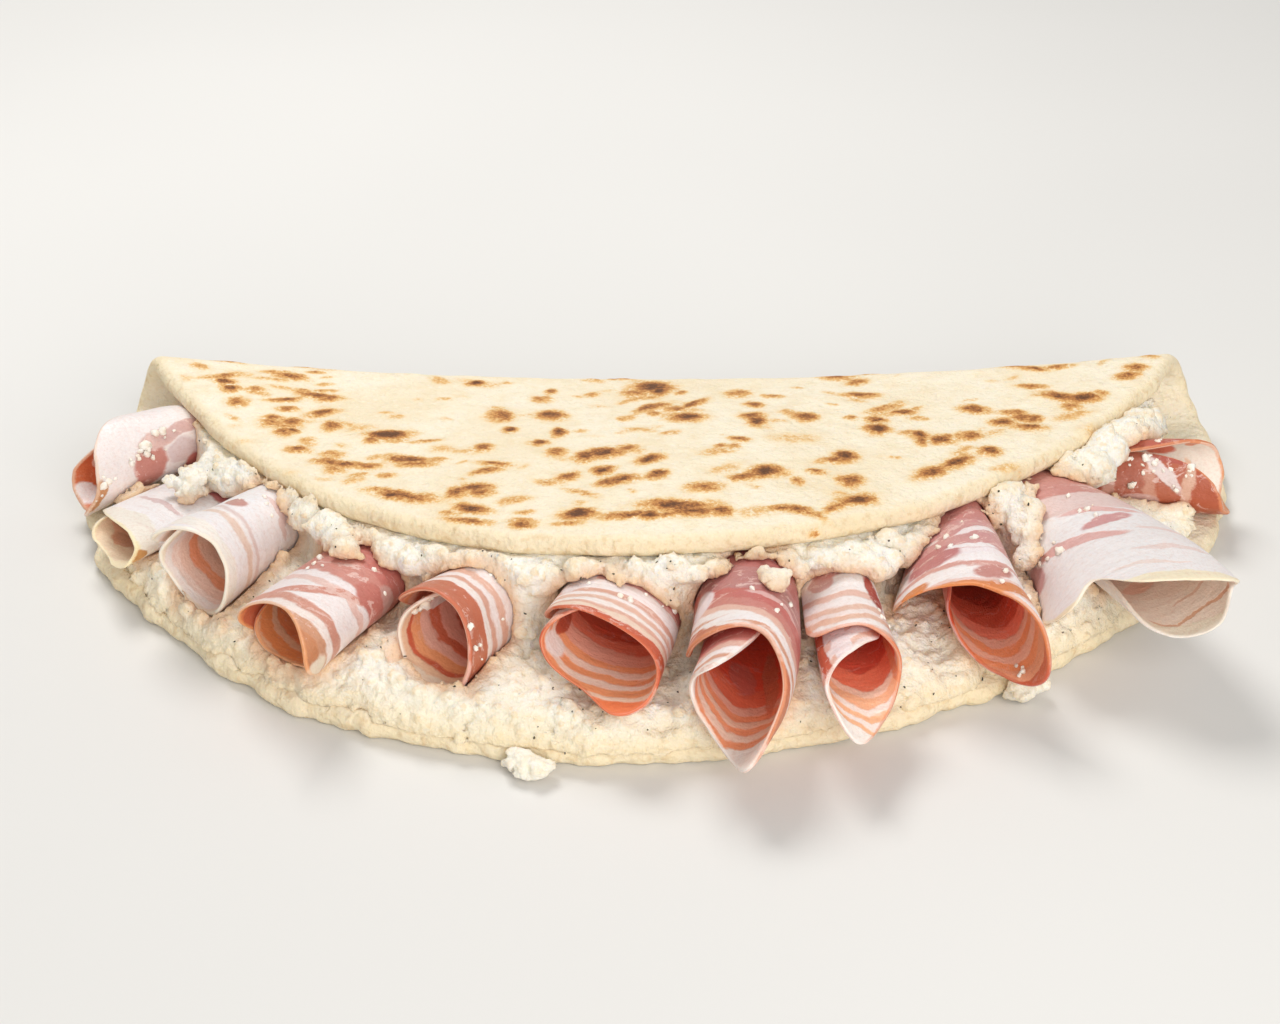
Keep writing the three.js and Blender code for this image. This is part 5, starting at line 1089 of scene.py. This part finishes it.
def thinned(verts, quads, cell):
    """Fewer faces where the curd lies on the bread or far under the flap, out of sight."""
    x, y, z = verts.T
    hidden = ((z < T - 0.1) & (rim_distance(x, y) > 5)) | ((y > flap_rim(x) + 4) & (np.abs(x) < 95))
    shown = ~hidden
    k = np.floor(verts[hidden] / cell).astype(np.int64) + 2000
    _, inv = np.unique((k[:, 0] * 4000 + k[:, 1]) * 4000 + k[:, 2], return_inverse=True)
    ids = np.empty(len(verts), np.int64)
    ids[shown] = np.arange(shown.sum())
    ids[hidden] = shown.sum() + inv.ravel()
    n = ids.max() + 1
    P = np.stack([np.bincount(ids, verts[:, c], n) for c in range(3)], -1) / np.bincount(ids, minlength=n)[:, None]
    q = ids[quads]
    same = q == np.roll(q, 1, axis=1)
    twice = same.sum(1)
    tris = q[twice == 1][~same[twice == 1]].reshape(-1, 3)
    return P, q[(twice == 0) & (q[:, 0] != q[:, 2]) & (q[:, 1] != q[:, 3])], tris


def curd_object(name, field, least=60, thin=0, pale=0.0):
    verts, quads = keep_big(*field.mesh(), least=least)
    tris = None
    if thin:
        verts, quads, tris = thinned(verts, quads, thin)
    # how the surface stands against its blurred surroundings, for painted shade meant for the hollows between curds
    curd_shade = sampled(field, blurred(np.clip(field.D, -3, 3), 4) - np.clip(field.D, -3, 3), verts)
    # closeness to the slices, for a stain from the meat's fat together with painted shade and red light reflected from
    # the slices
    stain_and_shade = near_slices(verts)
    quads, tris = outward(verts, quads, tris)
    return add_mesh(name, verts, quads, tris, RICOTTA,
                    dict(curd_shade=curd_shade, stain_and_shade=np.clip(stain_and_shade, 0, 9), pale=np.full(len(verts), pale)))


def base_field(field, fine):
    """The filling's own body: the layer on the bread and the band under the flap's rim."""
    u, y = np.meshgrid(field.x, field.y, indexing="ij")
    e = rim_distance(u, y)
    F = stack(u, y, 1.0)
    smear = smooth((62 - np.abs(u + 8)) / 40)
    inset = 1.5 - 2.6 * smear + 1.8 * noise(F, 8, 75) + 1.0 * noise(F, 3.5, 76)
    edge = e - inset
    top = ricotta_top(u, y, edge)
    drop = T / 2 * (1 - round_edge(np.maximum(e, 0)))
    bottom = T - 0.35 - drop
    top = np.where(e < 3.5, np.minimum(top, T - drop + 0.5 + 1.2 * smooth(edge / 1.4) + 0.6 * np.maximum(edge, 0)), top)
    z = field.z[None, None, :]
    d = np.maximum((z - top[..., None]) * 0.8, bottom[..., None] - z)
    side = np.maximum(-edge * 0.9, np.maximum(u - SPAN, -u - np.where(y > -12, 116, SPAN)))
    d = np.maximum(d, side[..., None])
    rim = flap_rim(u)
    back = fold_place(u) + 3.5
    if fine:
        d = np.maximum(d, (y - np.minimum(rim + 7, back))[..., None])
    else:
        d = np.maximum(d, np.maximum(rim + 3.5 - y, y - back)[..., None])
        d = np.maximum(d, (np.abs(u) - 118)[..., None])
    for w in (slice(0, np.searchsorted(field.x, -98)), slice(np.searchsorted(field.x, 98), None)):
        P = field.points((w, slice(None), slice(None)))
        ragged = 2.8 * noise(P, 7.5, 79) + 1.5 * noise(P, 3.6, 80) - 0.016 * (P[..., 2] - 15) ** 2
        end = np.where(P[..., 1] < -25, 126.0, np.where(P[..., 0] < 0, 113.0, 122.0 if fine else 115.0))
        d[w] = np.maximum(d[w], np.maximum(np.abs(P[..., 0]) - end - ragged, P[..., 1] - (back[w] - 3)[..., None] - ragged))
    under = flap_under(u, y)
    lid = np.where(y > rim - 0.5, under + 0.25, 99.0)
    field.D = np.maximum(d, z - lid[..., None]).astype(np.float32)
    return lid


def make_ricotta():
    F = Field((-131, -131, 3.2), (131, 16, 37.5), 0.7)
    lid = base_field(F, True)
    for c, r in HEAPS:
        F.ball(c, r)
    g = np.random.default_rng(77)
    for u in np.arange(-99, 112, 4.3):
        u = u + g.uniform(-1.5, 1.5)
        y = float(flap_rim(u))
        F.ball((u, y - g.uniform(-0.5, 3.2), float(flap_under(u, y + 3)) - g.uniform(0.6, 3.4)), g.uniform(0.8, 1.25, 3) * (3.6, 2.8, 2.2))
    F.roughen(91)
    F.take_rolls(0.15)
    F.curdle(101)
    F.take_rolls(0.1)
    z = F.z[None, None, :]
    F.D = np.maximum(F.D, z - lid[..., None]).astype(np.float32)
    F.D = np.maximum(F.D, (T - 0.9 - z)).astype(np.float32)
    F.D[[0, -1]], F.D[:, [0, -1]], F.D[:, :, [0, -1]] = 9, 9, 9
    curds = curd_object("ricotta_curds", F, thin=2.8)
    G = Field((-122, -80, 3.0), (122, 22, 37.0), 1.7)
    base_field(G, False)
    G.take_rolls(0.3)
    G.D[[0, -1]], G.D[:, [0, -1]], G.D[:, :, [0, -1]] = 9, 9, 9
    bed = curd_object("ricotta_bed", G)
    piece(curds, "ricotta", "ricotta")
    piece(bed, "ricotta")
    return F


LOOSE = [
    ("ricotta_lump_1", (-108.8, -38.0, 18.4), (4.8, 5.2, 3.6)),
    ("ricotta_lump_2", (25.0, -100.8, 31.6), (3.4, 3.6, 2.9)),
    ("ricotta_lump_3", (79.2, -99.4, 3.8), (5.2, 4.4, 3.1)),
    ("ricotta_lump_4", (-26.4, -126.1, 3.1), (5.8, 4.0, 2.5)),
]


def make_lumps():
    for n, (name, c, r) in enumerate(LOOSE):
        c, r = np.array(c), np.array(r)
        F = Field(c - r - 2.5, c + r + 2.5, 0.42)
        F.ball(c, r * 0.72)
        g = np.random.default_rng(300 + n)
        for _ in range(11):
            a = g.normal(size=3)
            a /= np.linalg.norm(a)
            F.ball(c + a * r * 0.66, r * g.uniform(0.26, 0.46))
        F.roughen(320 + n, 0.55)
        F.curdle(310 + 7 * n, 1.3, 0.45)
        F.take_rolls(0.1)
        z = F.z[None, None, :]
        F.D = np.maximum(F.D, 0.05 - z).astype(np.float32)
        F.D[[0, -1]], F.D[:, [0, -1]], F.D[:, :, [0, -1]] = 9, 9, 9
        piece(curd_object(name + "_curd", F, pale=1.0), "ricotta", name)


def ricotta_material():
    M = Mat("ricotta", Roughness=0.6)
    v = M.coords()
    curd_shade, stain_and_shade = M.attr("curd_shade"), M.attr("stain_and_shade")
    big, mid, fine = M.noise(v, 0.07, 2.0), M.noise(v, 0.35, 3.0, 0.6), M.noise(v, 1.6, 3.0, 0.6)
    base = M.mix(M.remap(big, 0.35, 0.68), (255, 251, 241), (254, 246, 230))
    base = M.mix(M.remap(mid, 0.5, 0.75, 0, 0.55), base, (250, 235, 206))
    grains = M.voronoi(v, 0.62)
    base = M.mix(M.remap(grains, 0.5, 0.9, 0, 0.4), base, (244, 224, 192))
    # painted shade meant for the hollows between curds: darker warm cream by how the surface stands against its blurred
    # surroundings
    base = M.mix(M.remap(curd_shade, 0.08, 0.5, 0, 0.6), base, (246, 216, 174))
    # painted shade: a warmer, darker cream lower down, where the curd lies shaded under the flap and between the
    # slices; the loose lumps get a quarter of it
    low = M.math("ADD", M.parted(v, 2), M.math("MULTIPLY", M.math("SUBTRACT", mid, 0.5), 6.0))
    low = M.math("MULTIPLY", M.remap(low, 13.0, 4.5, 0, 0.75), M.math("SUBTRACT", 1.0, M.math("MULTIPLY", M.attr("pale"), 0.75)))
    base = M.mix(low, base, (252, 228, 188))
    base = M.mix(M.remap(fine, 0.6, 0.85, 0, 0.2), base, (240, 222, 186))
    # browner cream close to the slices: partly a stain from the meat's fat, partly painted shade and painted reflection
    # of the red slices
    stain_and_shade_mix = M.math("ADD", stain_and_shade, M.math("MULTIPLY", M.math("SUBTRACT", mid, 0.5), 3.0))
    base = M.mix(M.remap(stain_and_shade_mix, 5.0, 0.2, 0, 0.75), base, (238, 192, 148))
    M.set("Base Color", base)
    M.set("Roughness", M.remap(fine, 0.3, 0.7, 0.5, 0.72, "LINEAR"))
    M.set("Specular IOR Level", 0.35)
    M.set("Subsurface Weight", 0.4)
    M.b.inputs["Subsurface Radius"].default_value = (0.003, 0.0026, 0.002)
    M.b.inputs["Subsurface Scale"].default_value = 1.0
    nb = M.bump(grains, 0.0007, 0.5)
    nb = M.bump(M.voronoi(v, 1.5), 0.0005, 0.5, nb)
    nb = M.bump(M.noise(v, 2.2, 4.0, 0.75), 0.0005, 0.6, nb)
    M.set("Normal", nb)
    return M.m


def scatter_bits(name, at, normals, sizes, material, slot, seed, flat=(1, 1, 1), level=1):
    """Small uneven bits of one kind, joined in one mesh."""
    bpy.ops.mesh.primitive_ico_sphere_add(subdivisions=level, radius=1)
    ball = bpy.context.object
    V = np.array([v.co for v in ball.data.vertices])
    Fc = np.array([list(p.vertices) for p in ball.data.polygons])
    bpy.data.objects.remove(ball)
    g = np.random.default_rng(seed)
    verts, tris = [], []
    for n, (p, nn, s) in enumerate(zip(at, normals, sizes)):
        a = g.normal(size=3)
        x = np.cross(nn, a)
        x /= np.linalg.norm(x)
        yv = np.cross(nn, x)
        shape = V * g.uniform(0.65, 1.25, (len(V), 1)) * np.array(flat) * g.uniform(0.7, 1.3, 3)
        verts.append(p + s * (shape[:, :1] * x + shape[:, 1:2] * yv + shape[:, 2:] * nn))
        tris.append(Fc + n * len(V))
    ob = add_mesh(name, np.concatenate(verts), None, np.concatenate(tris), material,
                  dict(curd_shade=np.zeros(len(verts) * len(V)), stain_and_shade=np.full(len(verts) * len(V), 9.0)))
    return piece(ob, slot)


def pepper_material():
    M = Mat("pepper", Roughness=0.6)
    v = M.coords()
    M.set("Base Color", M.mix(M.remap(M.noise(v, 0.9, 2.0), 0.4, 0.65), (38, 34, 26), (92, 84, 58)))
    M.set("Normal", M.bump(M.noise(v, 6.0, 2.0), 0.0002, 0.6))
    return M.m


def make_pepper(F):
    P, N, g = F.surface(501, 9000)
    rim = flap_rim(P[:, 0])
    ok = (P[:, 1] < rim + 0.5) & (N[:, 2] > -0.1) & (near_slices(P) > 0.6)
    P, N = P[ok][:240], N[ok][:240]
    sizes = g.uniform(0.13, 0.33, len(P))
    scatter_bits("pepper_specks", P + N * 0.12, N, sizes, pepper_material(), "ricotta", 502, (1.25, 0.8, 0.5))


# Small bits of curd that cling to slices: slice, place across (0 to 1), place
# along in mm, face, how many, spread in mm.
CLINGING = [
    ("roll_01", 0.34, 46.0, -1, 9, 2.2), ("roll_01", 0.30, 42.0, -1, 5, 1.6), ("roll_01", 0.26, 33.0, -1, 7, 2.0), ("roll_01", 0.24, 27.0, -1, 9, 2.4),
    ("roll_01", 0.20, 22.0, -1, 4, 2.0), ("roll_02", 0.24, 14.0, -1, 10, 3.5), ("roll_03", 0.33, 12.0, -1, 14, 5.0), ("roll_03", 0.28, 22.0, -1, 6, 3.0),
    ("roll_04", 0.35, 8.0, -1, 8, 4.0), ("roll_04", 0.52, 14.0, -1, 5, 3.0), ("roll_05", 0.845, 39.0, 1, 6, 1.2), ("roll_05", 0.80, 37.0, 1, 9, 1.6),
    ("roll_05", 0.30, 45.0, -1, 3, 1.0), ("roll_05", 0.34, 45.2, -1, 3, 0.7), ("roll_05", 0.38, 44.2, -1, 4, 0.9), ("roll_05", 0.42, 43.5, -1, 2, 0.5),
    ("roll_05", 0.32, 26.0, -1, 8, 4.0), ("roll_06", 0.30, 18.0, -1, 12, 5.0), ("roll_07", 0.22, 12.0, -1, 8, 4.0), ("roll_08", 0.25, 12.0, -1, 8, 4.0),
    ("roll_09", 0.36, 30.0, -1, 6, 3.0), ("roll_09", 0.42, 33.0, -1, 8, 2.0), ("roll_09", 0.20, 8.0, -1, 8, 4.0), ("roll_09", 0.60, 43.0, 1, 6, 1.5),
    ("roll_10", 0.30, 6.0, -1, 12, 5.0), ("roll_10", 0.12, 6.0, -1, 8, 3.0), ("roll_11", 0.95, 28.0, -1, 14, 3.5), ("roll_11", 0.90, 31.0, -1, 14, 4.0),
    ("roll_11", 0.05, 26.0, -1, 9, 3.0), ("roll_11", 0.86, 22.0, -1, 10, 4.0),
]


def make_clinging():
    g = np.random.default_rng(611)
    at, out, size = [], [], []
    for name, q, b, face, count, spread in CLINGING:
        R = next(r for r in ROLL if r.name == name)
        for _ in range(count):
            qq, bb = q + g.normal() * spread / 100, b + g.normal() * spread
            if not (0.01 < qq < 0.99) or bb > float(R.front(np.array(qq))) - 0.5:
                continue
            Q, Bb = np.array([qq]), np.array([bb])
            lift = g.uniform(0.1, 0.25)
            low, high = (R.point(Q, Bb, np.array([k]))[0] for k in ((0.15, -0.85) if face < 0 else (1.15, 2.15)))
            n = (high - low) / np.linalg.norm(high - low)
            at.append(low + n * lift)
            out.append(n)
            size.append(g.gamma(3.0, 0.16) * 0.8 + 0.2)
    keep = g.random(len(at)) < 0.62
    at, out, size = np.array(at)[keep], np.array(out)[keep], np.array(size)[keep]
    M = Mat("ricotta_bits", Roughness=0.65)
    M.set("Base Color", M.mix(M.remap(M.noise(M.coords(), 0.8, 2.0), 0.35, 0.65), (255, 251, 243), (252, 240, 222)))
    M.set("Normal", M.bump(M.noise(M.coords(), 3.0, 3.0, 0.7), 0.0004, 0.6))
    scatter_bits("ricotta_crumbs", at, out, size, M.m, "ricotta", 612, (1, 1, 0.8), 2)


# ---- put it all together ----------------------------------------------------------
RICOTTA = ricotta_material()
piece(make_bread(), "bread", "bread")
for n, R in enumerate(ROLL):
    piece(make_roll(R, n), "cured_slice", R.name)
FIELD = make_ricotta()
make_lumps()
make_clinging()
make_pepper(FIELD)

# ---- floor, light and camera ---------------------------------------------------------
bpy.ops.mesh.primitive_plane_add(size=6.0, location=(0, 0.5, 0))
floor = bpy.context.object
floor.name = "floor"
FM = Mat("floor_pale", Roughness=0.85)
FM.set("Base Color", FM.mix(FM.remap(FM.noise(FM.coords(1.0), 3.0, 2.0), 0.3, 0.7), (222, 221, 218), (226, 225, 222)))
floor.data.materials.append(FM.m)


def area_light(name, at, aim, size, power, colour=(1, 1, 1)):
    d = bpy.data.lights.new(name, "AREA")
    d.shape, d.size, d.energy, d.color = "DISK", size, power, colour
    ob = bpy.data.objects.new(name, d)
    bpy.context.scene.collection.objects.link(ob)
    ob.location = at
    ob.rotation_mode = "QUATERNION"
    ob.rotation_quaternion = (Vector(aim) - Vector(at)).to_track_quat("-Z", "Y")


area_light("key", (-0.22, 0.42, 0.75), (0, 0, 0), 0.45, 4.5, (1.0, 0.985, 0.965))
area_light("front", (0.3, -0.9, 0.5), (0, 0, 0), 0.9, 8.5, (1.0, 0.985, 0.965))
world = bpy.data.worlds.new("studio")
bpy.context.scene.world = world
world.use_nodes = True
world.node_tree.nodes["Background"].inputs[0].default_value = (1.0, 0.99, 0.975, 1)
world.node_tree.nodes["Background"].inputs[1].default_value = 0.42
bpy.context.scene.view_settings.view_transform = "Standard"

cam = bpy.data.cameras.new("camera")
cam.lens, cam.sensor_width, cam.clip_start, cam.clip_end = 67.5, 36.0, 0.01, 50.0
camera = bpy.data.objects.new("camera", cam)
bpy.context.scene.collection.objects.link(camera)
camera.location = (-0.00393, -0.46616, 0.29199)
camera.rotation_euler = (math.radians(60), 0, 0)
bpy.context.scene.camera = camera

bpy.context.view_layer.update()
